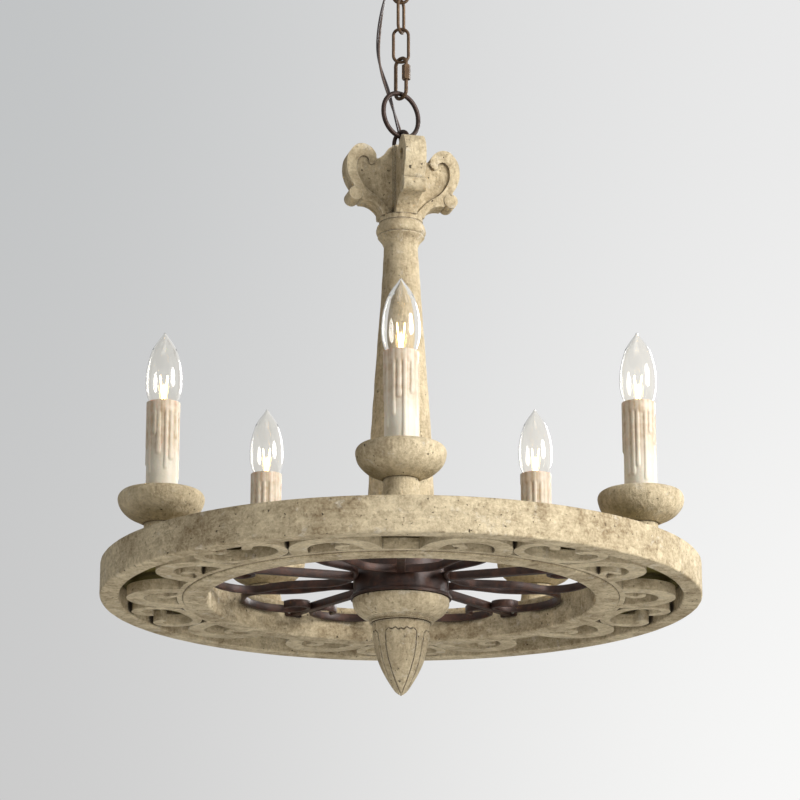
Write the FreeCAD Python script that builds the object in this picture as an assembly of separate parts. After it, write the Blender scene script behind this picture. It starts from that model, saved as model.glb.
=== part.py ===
import FreeCAD, Part
import os
from math import cos, sin, pi, radians, sqrt, tan, acos

# Wagon wheel chandelier: a wooden wheel with five candle lights, wrought-iron
# spokes with lyre scrolls, a turned column with a four-fin capital, and a chain
# up to a ceiling canopy.  Millimetres, +Z up.  Heights below are written above
# the wheel's underside (z = 0 there); out() moves every piece down by CEILING
# so that the origin is the ceiling plane on the hanging axis.

V = FreeCAD.Vector
os.makedirs("parts", exist_ok=True)

# ---- driving dimensions ------------------------------------------------------
LIGHTS = 5
LIGHT_AZ = [-90 + 72 * i for i in range(LIGHTS)]      # one light faces -Y
SECTOR = 360.0 / LIGHTS

RIM_R, RIM_WALL = 300.0, 19.0
WHEEL_H = 35.0
RING_RI, RING_RO = 194.0, 218.0
BOARD_T = 13.0
FRET_Z0, FRET_T = 2.0, 11.0
CANDLE_R = (RING_RO + RIM_R - RIM_WALL) / 2 - 1.9     # circle of the lights

IRON_H = 8.0                                          # strap and bar height
IRON_Z0 = 19.5
BAR_W, STRAP_T = 8.0, 4.0
DRUM_R, DRUM_TOP, DRUM_BOTTOM = 47.9, 42.0, 3.0

ROD_R, ROD_BORE = 5.0, 3.2                            # M10 hollow centre rod
ROD_CLEAR = 0.25
NECK_Z0, NECK_Z1 = 375.0, 406.0
CAP_TOP = 484.0
FIN_T, WEB_T, FIN_AZ = 22.0, 16.4, 15.0

BOWL_Z0, DISH_Z = 62.0, 87.0
SLEEVE_RO, SLEEVE_RI, SLEEVE_TOP = 16.0, 14.5, 185.0
SOCKET_R, SOCKET_Z0, SOCKET_TOP = 12.0, 91.0, 176.0
CAP_R, CAP_FIT = 7.0, 0.25                            # E14 lamp cap

# Chain, from the capital up.  Each loop of wire is (half width, lower and upper
# end of the wire's centre line, wire radius, azimuth of the loop's plane).
LOOP_FLAT = 1.2                                       # straight run at each end
CHAIN_CLEAR, RING_CLEAR = 0.3, 0.4                    # free play between two loops


def hung_over(below, half, height, wire, az, clear=CHAIN_CLEAR):
    """Loop whose lower end passes through the upper end of the loop below."""
    foot = below[2] - (below[3] + wire + clear)
    return (half, foot, foot + height, wire, az)


EYE_FOOT = 2.95                                       # sunk in the capital's top
EYE = (10.75, CAP_TOP - EYE_FOOT, CAP_TOP - EYE_FOOT + 21.5, 2.25, -49.0)
RING = hung_over(EYE, 24.0, 48.0, 2.5, 41.0, RING_CLEAR)
QUICK = hung_over(RING, 8.0, 44.8, 2.0, -47.0)
LINK_3 = hung_over(QUICK, 7.9, 37.6, 1.7, 0.0)
LINK_2 = hung_over(LINK_3, 7.9, 37.6, 1.7, 68.0)
LINK_1 = hung_over(LINK_2, 7.9, 37.6, 1.7, 0.0)
CANOPY_LOOP = hung_over(LINK_1, 9.0, 18.0, 2.0, 90.0)

# ceiling end, stacked on the loop
BOSS_H, COLLAR_H = 10.9, 6.5
BOSS_Z0 = CANOPY_LOOP[2] - 2.2
BOSS_TOP = BOSS_Z0 + BOSS_H
CANOPY_Z0 = BOSS_TOP + COLLAR_H
CANOPY_R, CANOPY_H, SHEET = 62.5, 29.0, 1.2
CEILING = CANOPY_Z0 + CANOPY_H                        # above the wheel's underside
CORD_R, CORD_CLEAR = 1.6, 0.4


# ---- helpers -----------------------------------------------------------------
def out(name, *shapes):
    shape = shapes[0] if len(shapes) == 1 else Part.makeCompound(list(shapes))
    shape = shape.copy()
    shape.translate(V(0, 0, -CEILING))
    shape.exportStep("parts/%s.step" % name)
    box = shape.BoundBox
    print("%-20s solids %d  vol %.1f cm3  z %.1f..%.1f  ok %s" % (
        name, len(shape.Solids), shape.Volume / 1000, box.ZMin, box.ZMax, shape.isValid()))


def turned(shape, degrees, centre=(0, 0, 0)):
    s = shape.copy()
    s.rotate(V(*centre), V(0, 0, 1), degrees)
    return s


def moved(shape, x, y, z=0):
    s = shape.copy()
    s.translate(V(x, y, z))
    return s


def fused(shapes):
    body = shapes[0].multiFuse(list(shapes[1:])).removeSplitter()
    return body.Solids[0] if len(body.Solids) == 1 else body


def cyl(r, z0, z1, x=0, y=0):
    return Part.makeCylinder(r, z1 - z0, V(x, y, z0))


def tube(ro, ri, z0, z1, x=0, y=0):
    return cyl(ro, z0, z1, x, y).cut(cyl(ri, z0 - 1, z1 + 1, x, y))


def box(x0, x1, y0, y1, z0, z1):
    return Part.makeBox(x1 - x0, y1 - y0, z1 - z0, V(x0, y0, z0))


FLATTEST = 40.0          # turned outlines take an arc flatter than this as straight


def tangents(pts):
    """Unit directions of a smooth line at its points: along the circle through
    each point and its neighbours."""
    steps = [b - a for a, b in zip(pts, pts[1:])]
    inner = [(u * (w.Length / u.Length) + w * (u.Length / w.Length)).normalize()
             for u, w in zip(steps, steps[1:])]
    if not inner:
        return [V(steps[0]).normalize()] * 2

    def mirrored(t, step):
        u = V(step).normalize()
        return u * (2 * t.dot(u)) - t
    return [mirrored(inner[0], steps[0])] + inner + [mirrored(inner[-1], steps[-1])]


def arcs_through(points, flattest=1e6):
    """Tangent arcs through 2-D points, two between each pair: a list of
    (start, middle, end, centre or None for a straight piece).  An arc whose
    radius is over flattest times its chord becomes straight."""
    pts = [V(x, y, 0) for x, y in points]
    dirs, out_arcs = tangents(pts), []
    for p, q, t, w in zip(pts, pts[1:], dirs, dirs[1:]):
        v, both, gap = q - p, t + w, 2 * (1 - t.dot(w))
        if gap < 1e-9:
            d = v.dot(v) / (4 * v.dot(w))
        else:
            d = (-v.dot(both) + sqrt(v.dot(both) ** 2 + gap * v.dot(v))) / gap
        joint = (p + t * d + q - w * d) * 0.5
        for a, b, along, at in ((p, joint, t, p), (joint, q, w, q)):
            side, chord = V(-along.y, along.x, 0), b - a
            other = b if at == a else a
            reach = 2 * side.dot(other - at)
            if abs(reach) < chord.Length / flattest:
                out_arcs.append((a, (a + b) * 0.5, b, None))
                continue
            centre = at + side * (chord.dot(chord) / reach)
            half = (a + b) * 0.5 - centre
            middle = centre + half.normalize() * (a - centre).Length
            out_arcs.append((a, middle, b, centre))
    return out_arcs


def arc_edges(arcs, to3d=lambda p: p, offset=0.0):
    """Edges of tangent arcs, moved to their left by the offset."""
    edges = []
    for a, m, b, centre in arcs:
        if centre is None:
            along = V(b - a).normalize()
            shift = V(-along.y, along.x, 0) * offset
            edges.append(Part.LineSegment(to3d(a + shift), to3d(b + shift)).toShape())
            continue
        left = (a - centre).cross(b - a).z < 0           # centre lies to the right
        grown = ((a - centre).Length + (offset if left else -offset)) / (a - centre).Length
        a, m, b = [centre + (p - centre) * grown for p in (a, m, b)]
        edges.append(Part.Arc(to3d(a), to3d(m), to3d(b)).toShape())
    return edges


def outline(segments, to3d):
    """Closed wire of ('line', pts...) and ('curve', pts...) runs; each run
    starts where the last one ended and the outline closes with a line."""
    edges, at, first = [], None, None
    for kind, pts in segments:
        run = ([at] if at is not None else []) + list(pts)
        if first is None:
            first = run[0]
        if kind == "line" or len(run) == 2:
            edges += [Part.LineSegment(to3d(a), to3d(b)).toShape()
                      for a, b in zip(run, run[1:])]
        else:
            edges += arc_edges(arcs_through(run, FLATTEST), lambda v: to3d((v.x, v.y)))
        at = run[-1]
    if (to3d(at) - to3d(first)).Length > 1e-6:
        edges.append(Part.LineSegment(to3d(at), to3d(first)).toShape())
    return Part.Wire(edges)


def turning(segments, bore=0.0):
    """Solid turned about Z from an (r, z) outline, with an axial bore."""
    face = Part.Face(outline(segments, lambda p: V(p[0], 0, p[1])))
    body = face.revolve(V(0, 0, 0), V(0, 0, 1), 360)
    if bore:
        b = body.BoundBox
        body = body.cut(cyl(bore, b.ZMin - 1, b.ZMax + 1))
    return body.Solids[0] if body.Solids else body


def ribbon(points, width, z0, height):
    """Flat strip of constant width along tangent arcs through the points."""
    arcs = arcs_through(points)
    left, right = arc_edges(arcs, offset=width / 2), arc_edges(arcs, offset=-width / 2)

    def ends(edges):
        return edges[0].firstVertex(True).Point, edges[-1].lastVertex(True).Point
    (a, b), (c, d) = ends(left), ends(right)
    wire = Part.Wire(left + [Part.LineSegment(b, d).toShape()] + right[::-1]
                     + [Part.LineSegment(c, a).toShape()])
    strip = Part.Face(wire).extrude(V(0, 0, height))
    strip.translate(V(0, 0, z0))
    return strip


def wire_path(spec, flat=LOOP_FLAT):
    half, z0, z1, r, az = spec
    c = half - flat / 2
    x, f = half, flat / 2
    k = c * (1 - sqrt(0.5))
    seg, arc = Part.LineSegment, Part.Arc
    p = lambda a, b: V(a, 0, b)
    edges = [seg(p(-f, z0), p(f, z0)), arc(p(f, z0), p(x - k, z0 + k), p(x, z0 + c)),
             seg(p(x, z0 + c), p(x, z1 - c)),
             arc(p(x, z1 - c), p(x - k, z1 - k), p(f, z1)),
             seg(p(f, z1), p(-f, z1)), arc(p(-f, z1), p(-x + k, z1 - k), p(-x, z1 - c)),
             seg(p(-x, z1 - c), p(-x, z0 + c)),
             arc(p(-x, z0 + c), p(-x + k, z0 + k), p(-f, z0))]
    return Part.Wire([e.toShape() for e in edges])


def wire_loop(spec):
    """Closed loop of round wire in the vertical plane at the given azimuth."""
    half, z0, z1, r, az = spec
    path = wire_path(spec)
    section = Part.Wire(Part.makeCircle(r, V(0, 0, z0), V(1, 0, 0)))
    pipe = Part.Wire(path.Edges).makePipeShell([section], True, False)
    return turned(pipe if pipe.ShapeType == "Solid" else pipe.Solids[0], az)


def bent_tube(points, r, name):
    """Round tube of straight runs joined by tangent arcs."""
    P = [V(*p) for p in points]
    cut, edges, radii = [0.0], [], []
    for a, b, c in zip(P, P[1:], P[2:]):
        u, w = (b - a), (c - b)
        turn = acos(max(-1, min(1, u.dot(w) / u.Length / w.Length)))
        cut.append(0.45 * min(u.Length, w.Length))
        radii.append(cut[-1] / tan(turn / 2))
    cut.append(0.0)
    at = P[0]
    for i in range(1, len(P)):
        u = (P[i] - P[i - 1]).normalize()
        end = P[i] - u * cut[i]
        edges.append(Part.LineSegment(at, end).toShape())
        if i < len(P) - 1:
            w = (P[i + 1] - P[i]).normalize()
            nxt = P[i] + w * cut[i]
            bis = (w - u).normalize()
            half = (end + nxt) * 0.5
            rad = radii[i - 1]
            centre = half + bis * sqrt(max(rad ** 2 - ((nxt - end).Length / 2) ** 2, 0))
            mid = centre - bis * rad
            edges.append(Part.Arc(end, mid, nxt).toShape())
            at = nxt
    path = Part.Wire(edges)
    u = (P[1] - P[0]).normalize()
    section = Part.Wire(Part.makeCircle(r, P[0], u))
    pipe = path.makePipeShell([section], True, False)
    solid = pipe if pipe.ShapeType == "Solid" else pipe.Solids[0]
    print(name, "length %.1f" % path.Length, "radii", ["%.1f" % x for x in radii],
          "volume ratio %.4f" % (solid.Volume / (pi * r * r * path.Length)))
    return solid


def polar(theta, r):
    return (r * cos(radians(theta)), r * sin(radians(theta)))


def at_light(shape, i):
    """Copy of a piece drawn on the Z axis, stood at light number i."""
    x, y = polar(LIGHT_AZ[i], CANDLE_R)
    return moved(turned(shape, LIGHT_AZ[i]), x, y)


# ---- lamp cord: out of the canopy loop, slack beside the chain, into the body loop
CORD = [(0, 0, 716), (0, 0, 702.2), (-2.4, 2.2, 695.4), (-5.6, 4.6, 688), (-10.5, 4.6, 675.5),
        (-17.6, 3.4, 655), (-22, 2.4, 630), (-24.4, 1.6, 603), (-23.4, 1.2, 584),
        (-19.4, 1.0, 567), (-14.2, 1.1, 551), (-9.4, 2.8, 534), (-4.6, 5.2, 517),
        (-0.9, 7.2, 504.5), (-0.2, 7.2, 494.6), (-0.2, 3.6, 488.8), (0, 0, 484), (0, 0, 475)]
out("lamp_cord", bent_tube(CORD, CORD_R, "lamp_cord"))
cord_room = bent_tube(CORD, CORD_R + CORD_CLEAR, "room for the cord")

# ---- ceiling end -------------------------------------------------------------
SLOT_SPACING, SLOT_R, SLOT_L = 89.0, 2.4, 12.0
bar = box(-57, 57, -8, 8, CEILING - 2.5, CEILING)
bar = bar.makeFillet(6.0, [e for e in bar.Edges if abs(e.Length - 2.5) < 1e-6])
for side in (-1, 1):
    x, run = side * SLOT_SPACING / 2, SLOT_L / 2 - SLOT_R
    bar = bar.cut(box(x - run, x + run, -SLOT_R, SLOT_R, CEILING - 4, CEILING + 1))
    for end in (-run, run):
        bar = bar.cut(cyl(SLOT_R, CEILING - 4, CEILING + 1, x + end, 0))
out("crossbar", bar.cut(cyl(ROD_R, CEILING - 4, CEILING + 1)).removeSplitter())
NIPPLE_END = BOSS_Z0 + 5.4
out("canopy_nipple", tube(ROD_R, ROD_BORE, NIPPLE_END, CEILING - 0.5))


def hex_prism(flats, z0, z1, bore, x=0, y=0, az=0):
    r = flats / 2 / cos(pi / 6)
    pts = [V(x + r * cos(radians(az + 60 * k)), y + r * sin(radians(az + 60 * k)), z0)
           for k in range(7)]
    body = Part.Face(Part.makePolygon(pts)).extrude(V(0, 0, z1 - z0))
    return body.cut(cyl(bore, z0 - 1, z1 + 1, x, y))


out("nipple_nut", hex_prism(17.0, CEILING - 6.5, CEILING - 2.5, ROD_R))

DISH_R, DISH_H = 58.5, CANOPY_H - 7.0                 # domed part under the straight wall
canopy = turning([("line", [(ROD_R + 0.2, CANOPY_Z0), (16, CANOPY_Z0)]),
                  ("curve", [(26, CANOPY_Z0 + 2.2), (40, CANOPY_Z0 + 7.5),
                             (52, CANOPY_Z0 + 14.5), (DISH_R, CANOPY_Z0 + DISH_H)]),
                  ("line", [(CANOPY_R, CANOPY_Z0 + DISH_H + 2), (CANOPY_R, CEILING - 0.3),
                            (CANOPY_R - SHEET, CEILING - 0.3),
                            (CANOPY_R - SHEET, CANOPY_Z0 + DISH_H + 3),
                            (DISH_R - 1.0, CANOPY_Z0 + DISH_H + 1.1)]),
                  ("curve", [(51.2, CANOPY_Z0 + 15.6), (39.5, CANOPY_Z0 + 8.7),
                             (25.8, CANOPY_Z0 + 3.4), (16, CANOPY_Z0 + SHEET)]),
                  ("line", [(ROD_R + 0.2, CANOPY_Z0 + SHEET)])])
out("canopy", canopy)
out("collar_nut", turning([("line", [(ROD_R, BOSS_TOP), (7.5, BOSS_TOP), (9.5, BOSS_TOP + 2),
                                     (9.5, CANOPY_Z0 - 2), (8.3, CANOPY_Z0),
                                     (ROD_R, CANOPY_Z0)])]))
loop = fused([wire_loop(CANOPY_LOOP),
              turning([("line", [(0, BOSS_Z0), (4.5, BOSS_Z0), (6.3, BOSS_Z0 + 2.4),
                                 (6.3, NIPPLE_END), (7.5, NIPPLE_END + 2), (7.5, BOSS_TOP),
                                 (0, BOSS_TOP)])])])
loop = loop.cut(cyl(ROD_R, NIPPLE_END, BOSS_TOP + 1)).cut(cyl(2.4, BOSS_Z0 - 1, BOSS_TOP))
out("canopy_loop", loop.cut(cord_room))

# ---- chain -------------------------------------------------------------------
out("chain_link_1", wire_loop(LINK_1))
out("chain_link_2", wire_loop(LINK_2))
out("chain_link_3", wire_loop(LINK_3))

LEG_X, LEG_Y = polar(QUICK[4], QUICK[0])              # leg with the opening
QUICK_GAP = (QUICK[1] + 26.9, QUICK[1] + 33.9)
SLEEVE = (QUICK[1] + 18.9, QUICK[1] + 34.9)           # closed over the gap
quick = wire_loop(QUICK).cut(cyl(4.0, QUICK_GAP[0], QUICK_GAP[1], LEG_X, LEG_Y))
out("quick_link", quick)
out("quick_link_sleeve", hex_prism(8.0, SLEEVE[0], SLEEVE[1], QUICK[3] + 0.05,
                                   LEG_X, LEG_Y, QUICK[4]))
out("hanging_ring", wire_loop(RING))
EYE_BOSS_R, EYE_BOSS_Z0, ROD_TOP = 6.5, CAP_TOP - 10.0, CAP_TOP - 5.0
eye = fused([wire_loop(EYE), cyl(EYE_BOSS_R, EYE_BOSS_Z0, CAP_TOP + 1)])
eye = eye.cut(cyl(ROD_R, EYE_BOSS_Z0 - 4, ROD_TOP + 0.5)).cut(cyl(2.4, ROD_TOP - 1, CAP_TOP + 8))
out("body_loop", eye.cut(cord_room))

# ---- column, capital and centre rod ------------------------------------------
ROD_FOOT = -55.0
out("centre_rod", tube(ROD_R, ROD_BORE, ROD_FOOT, ROD_TOP))

fin = [("line", [(0, NECK_Z1), (22.5, NECK_Z1), (24, 410.5)]),
       ("curve", [(29, 416), (35, 419.3), (43.4, 420)]),
       ("line", [(50.8, 426.8), (53.3, 436.7)]),
       ("curve", [(58.4, 446), (60.6, 458), (57, 473), (45.8, 482), (34.6, 478.6),
                  (29.3, 471)]),
       ("line", [(29, 466.7)]),
       ("curve", [(20.5, 472.5), (14.2, 481), (8, CAP_TOP)]),
       ("line", [(0, CAP_TOP)])]
sunk = [("line", [(9, 408), (16, 412)]),
        ("curve", [(27, 424), (38.5, 432.5), (45.5, 441), (50, 456), (47.4, 466), (42.7, 469),
                   (37.5, 466.5), (36.6, 461.5), (33.4, 460)]),
        ("line", [(30.6, 462.4), (28, 467), (24, 480), (9, CAP_TOP + 6)])]
BUTTON_R, BUTTON_AT, BUTTON_RAISE = 7.3, (50.8, 426.8), 0.9


def plate(segments, t, offset=0.0):
    wire = outline(segments, lambda p: V(p[0], offset - t / 2, p[1]))
    return Part.Face(wire).extrude(V(0, t, 0))


depth = (FIN_T - WEB_T) / 2
button = Part.makeCylinder(BUTTON_R, FIN_T + 2 * BUTTON_RAISE,
                           V(BUTTON_AT[0], -FIN_T / 2 - BUTTON_RAISE, BUTTON_AT[1]), V(0, 1, 0))
one_fin = plate(fin, FIN_T)
for side in (-1, 1):
    one_fin = one_fin.cut(plate(sunk, depth, side * (FIN_T / 2 - depth / 2)))
one_fin = fused([one_fin, button])
fins = fused([turned(one_fin, FIN_AZ + 90 * k) for k in range(4)]
             + [cyl(13.0, NECK_Z1, CAP_TOP - 3)])
EYE_SEAT = EYE[:3] + (EYE[3] + 0.3, EYE[4])           # room for the eye's foot
capital = fins.cut(cyl(ROD_R + ROD_CLEAR, NECK_Z1 - 1, EYE_BOSS_Z0 + 1))
capital = capital.cut(cyl(EYE_BOSS_R + 0.2, EYE_BOSS_Z0, CAP_TOP + 6))
capital = capital.cut(wire_loop(EYE_SEAT))
capital = max(capital.Solids, key=lambda s: s.Volume)
out("capital", capital)

column = turning([("line", [(0, DRUM_TOP), (35, DRUM_TOP)]),
                  ("curve", [(33.3, 114), (30.8, 175), (25, 262), (18.9, 350),
                             (18, NECK_Z0)]),
                  ("curve", [(20.3, 380), (25, 385.5)]),
                  ("line", [(23.6, 386.5)]),
                  ("curve", [(25.6, 389), (26, 392), (24.6, 397), (22.2, 400)]),
                  ("line", [(23, 401), (22.5, NECK_Z1), (0, NECK_Z1)])], ROD_R + ROD_CLEAR)
out("column", column)

# ---- hub ---------------------------------------------------------------------
drum = turning([("line", [(50.5, DRUM_BOTTOM), (50.5, 5)]),
                ("curve", [(48.8, 7.5), (DRUM_R, 11)]),
                ("line", [(DRUM_R, DRUM_TOP - 3), (DRUM_R - 3, DRUM_TOP), (0, DRUM_TOP),
                          (0, DRUM_TOP - 3), (DRUM_R - 4, DRUM_TOP - 3),
                          (DRUM_R - 3, DRUM_BOTTOM)])], ROD_R + ROD_CLEAR)
out("hub_drum", drum)
cup = turning([("line", [(0, DRUM_BOTTOM), (48.7, DRUM_BOTTOM)]),
               ("curve", [(48, -4), (44, -10.7), (38, -15.5)]),
               ("line", [(33.5, -16.2), (33.5, -17.4)]),
               ("curve", [(31.6, -18.2), (31.2, -19.6), (32.2, -21)]),
               ("line", [(0, -21)])], ROD_R + ROD_CLEAR)
out("hub_cup", cup)
out("hub_nut", hex_prism(17.0, DRUM_BOTTOM, 9.0, ROD_R))
finial = turning([("line", [(0, -21), (29.4, -21)]),
                  ("curve", [(29.2, -26), (28, -34.5), (26, -46), (22.3, -60), (16.4, -73),
                             (9.2, -85), (4.5, -91.5), (0.4, -94.3)]),
                  ("line", [(0, -94.3)])])
finial = finial.cut(cyl(ROD_R, ROD_FOOT - 1, -20.0))
out("finial", finial)

# ---- wheel -------------------------------------------------------------------
EDGE = 2.5
ri, ro = RIM_R - RIM_WALL, RIM_R


def rounded_ring(ri, ro, z0, z1, e):
    ring = tube(ro, ri, z0, z1)
    return ring.makeFillet(e, [x for x in ring.Edges if x.Curve.TypeId == "Part::GeomCircle"])


out("outer_rim", rounded_ring(ri, ro, 0, WHEEL_H, EDGE))
inner = rounded_ring(RING_RI, RING_RO, 0, WHEEL_H, EDGE)
FOOT = 3.0                                            # spoke foot plate on the ring
SCREW_Q, SCREW_R, SCREW_L = 6.6, 1.7, 12.0
iron_mid = IRON_Z0 + IRON_H / 2
screw = fused([Part.makeCylinder(SCREW_R, SCREW_L + FOOT, V(RING_RI - FOOT, 0, iron_mid), V(1, 0, 0)),
               Part.makeCone(1.6, 2.3, 1.6, V(RING_RI - FOOT - 1.6, 0, iron_mid), V(1, 0, 0))])
screws = [turned(moved(screw, 0, q), az) for az in LIGHT_AZ for q in (-SCREW_Q, SCREW_Q)]
for s in screws:
    inner = inner.cut(s)
out("inner_ring", inner)
out("spoke_screws", *screws)

board = tube(ri, RING_RO, WHEEL_H - BOARD_T, WHEEL_H)
for i in range(LIGHTS):
    x, y = polar(LIGHT_AZ[i], CANDLE_R)
    board = board.cut(cyl(ROD_R, 0, WHEEL_H + 1, x, y))
out("backing_board", board)

# fretwork: in each sector, an arch with a small volute each side of the light's
# mid-line, and a double-hooked U on the line between two lights.  Points are
# (degrees, mm out from the inner ring) in a band FRET_BAND deep.
FRET_BAND = 63.0
ARCH = [(6.5, 1.5), (7.0, 15), (8.6, 31), (12.0, 43.5), (15.5, 47), (19.0, 43),
        (22.6, 29), (24.2, 15), (25.0, 1.5)]
VOLUTE = [(10.4, 2), (13.2, 8.5), (14.4, 15.5), (13.4, 21.6), (11.6, 21.5)]
HOOK = [(3.2, 44), (3.9, 51), (6.3, 56.5), (8.8, 50.5), (9.7, 38), (9.0, 23),
        (6.2, 12), (2.6, 8.3), (0, 8)]


def fret(points, width, mirror=1, about=0.0):
    reach = (ri - RING_RO) / FRET_BAND
    return ribbon([polar(about + mirror * t, RING_RO + d * reach) for t, d in points],
                  width, FRET_Z0, FRET_T)


u_line = HOOK + [(-t, d) for t, d in reversed(HOOK[:-1])]
frets = [tube(RING_RO + 5.5, RING_RO, FRET_Z0, FRET_Z0 + FRET_T)]
for az in LIGHT_AZ:
    for m in (-1, 1):
        frets += [fret(ARCH, 17.0, m, az), fret(VOLUTE, 7.0, m, az)]
    frets.append(fret(u_line, 9.6, 1, az + SECTOR / 2))
fretwork = fused(frets)
keep = tube(ri, RING_RO, FRET_Z0, FRET_Z0 + FRET_T)
fretwork = fretwork.common(keep)
out("fretwork", fretwork.Solids[0] if len(fretwork.Solids) == 1 else fretwork)

# ---- ironwork: a square bar with one continuous lyre strap round it ------------
LYRE = [(165, 29), (155, 27), (149, 18), (151, 9), (160, 5.95), (173, 9), (183, 20), (186, 40),
        (181, 60), (170, 76), (155, 87), (139, 91), (124.6, 87.0), (112, 70.3), (97.7, 56.1),
        (80, 46.4), (64, 37.8), (55.5, 27), (51.3, 13), (DRUM_R + 0.1 + STRAP_T / 2, 0)]
strap = ribbon(LYRE + [(p, -q) for p, q in reversed(LYRE[:-1])], STRAP_T, IRON_Z0, IRON_H)
bar_in = DRUM_R + STRAP_T
spoke = fused([box(bar_in, RING_RI - FOOT, -BAR_W / 2, BAR_W / 2, IRON_Z0, IRON_Z0 + IRON_H),
               box(RING_RI - FOOT, RING_RI - 0.15, -9.5, 9.5, iron_mid - 4.5, iron_mid + 4.5),
               strap])
for q in (-SCREW_Q, SCREW_Q):
    spoke = spoke.cut(Part.makeCylinder(SCREW_R + 0.1, 8, V(RING_RI - FOOT - 2, q, iron_mid),
                                        V(1, 0, 0)))
for i in range(LIGHTS):
    out("lyre_spoke_%d" % (i + 1), turned(spoke, LIGHT_AZ[i]))

# ---- lights --------------------------------------------------------------------
neck = turning([("line", [(0, WHEEL_H), (22, WHEEL_H), (22, 37)]),
                ("curve", [(19.2, 43), (17.2, 51), (16.5, BOWL_Z0)]),
                ("line", [(0, BOWL_Z0)])], ROD_R + ROD_CLEAR)
bowl = turning([("line", [(0, BOWL_Z0), (18.5, BOWL_Z0)]),
                ("curve", [(24, 64.9), (32.5, 69.3), (39.7, 76.7), (42.8, 86)]),
                ("curve", [(41.2, 91.5), (36.8, 94.5)]),
                ("curve", [(34.2, 92), (30, 88.6), (24, DISH_Z)]),
                ("line", [(0, DISH_Z)])], ROD_R + ROD_CLEAR)

# candle sleeve with wax drips: azimuth, foot height, radius
DRIPS = [(10, 148, 3.4), (52, 128, 3.0), (95, 158, 3.6), (137, 138, 3.2), (176, 119, 2.9),
         (221, 151, 3.5), (262, 133, 3.1), (305, 144, 3.3), (338, 163, 3.0)]
wax = [tube(SLEEVE_RO, SLEEVE_RI, DISH_Z, SLEEVE_TOP)]
wax.append(turning([("line", [(SLEEVE_RI, 168), (SLEEVE_RO, 168)]),
                    ("curve", [(17.3, 173), (17.5, 180), (16.4, SLEEVE_TOP)]),
                    ("line", [(SLEEVE_RI, SLEEVE_TOP)])]))
for az, foot, r in DRIPS:
    x, y = polar(az, SLEEVE_RO - 1.2)
    wax.append(cyl(r, foot, SLEEVE_TOP - 4, x, y))
    wax.append(Part.makeSphere(r, V(x, y, foot)))
    wax.append(Part.makeSphere(r, V(x, y, SLEEVE_TOP - 4)))
sleeve = fused(wax).cut(cyl(SLEEVE_RI, DISH_Z - 1, SLEEVE_TOP + 5))
sleeve = sleeve.common(cyl(30, DISH_Z, SLEEVE_TOP))

NIPPLE = (WHEEL_H - BOARD_T + 2, 99.0)
candle_nipple = tube(ROD_R, ROD_BORE, NIPPLE[0], NIPPLE[1])
socket = turning([("line", [(ROD_R, DISH_Z), (9, DISH_Z), (9, SOCKET_Z0), (SOCKET_R, SOCKET_Z0 + 2),
                            (SOCKET_R, SOCKET_TOP), (CAP_R + CAP_FIT, SOCKET_TOP),
                            (CAP_R + CAP_FIT, 149.0), (2.5, 149.0), (2.5, 104.0),
                            (ROD_R, NIPPLE[1])])])

GLASS_T = 0.7
glass_out = [(8.5, 176.5), (13.9, 185.5), (17.6, 197), (18.5, 209), (17.2, 223), (13.2, 238),
             (8.6, 246.8), (4.2, 253), (0.9, 258.2)]
glass_in = [(0, 256.4), (3.4, 252.4), (7.9, 246.2), (12.5, 237.6), (16.5, 222.8),
            (17.8, 209), (16.9, 197.2), (13.2, 186), (7.8, 177.2)]
glass = turning([("line", [(7.0, 176.5), glass_out[0]]), ("curve", glass_out[1:]),
                 ("line", [(0, 258.7), glass_in[0]]), ("curve", glass_in[1:]),
                 ("line", [(7.0, 177.2)])])
cap = turning([("line", [(0, 149.2), (3.2, 149.2), (4.4, 151.5), (CAP_R, 153), (CAP_R, 176.5),
                         (0, 176.5)])])
stem = turning([("line", [(0, 176.5), (5.4, 176.5)]), ("curve", [(3.4, 182), (2.0, 190), (1.6, 205)]),
                ("line", [(0, 206)])])
FILAMENTS = 4
fil = []
for k in range(FILAMENTS):
    x, y = polar(45 + 90 * k, 1.5)
    u, v = polar(45 + 90 * k, 6.0)
    fil.append(Part.makeCylinder(0.6, 24.0, V(x, y, 188.0), V(u - x, v - y, 26.0)))
lamp = fused([cap, stem] + fil)

for i in range(LIGHTS):
    n = i + 1
    out("candle_neck_%d" % n, at_light(neck, i))
    out("candle_bowl_%d" % n, at_light(bowl, i))
    out("candle_sleeve_%d" % n, at_light(turned(sleeve, 47 * i), i))
    out("bulb_glass_%d" % n, at_light(glass, i))
    out("bulb_cap_%d" % n, at_light(lamp, i))
out("candle_nipples", *[at_light(candle_nipple, i) for i in range(LIGHTS)])
out("sockets", *[at_light(socket, i) for i in range(LIGHTS)])
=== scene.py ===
import math
import random

import bmesh
import bpy
from bpy.props import FloatProperty, FloatVectorProperty, IntProperty, PointerProperty
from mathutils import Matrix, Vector, noise


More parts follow.
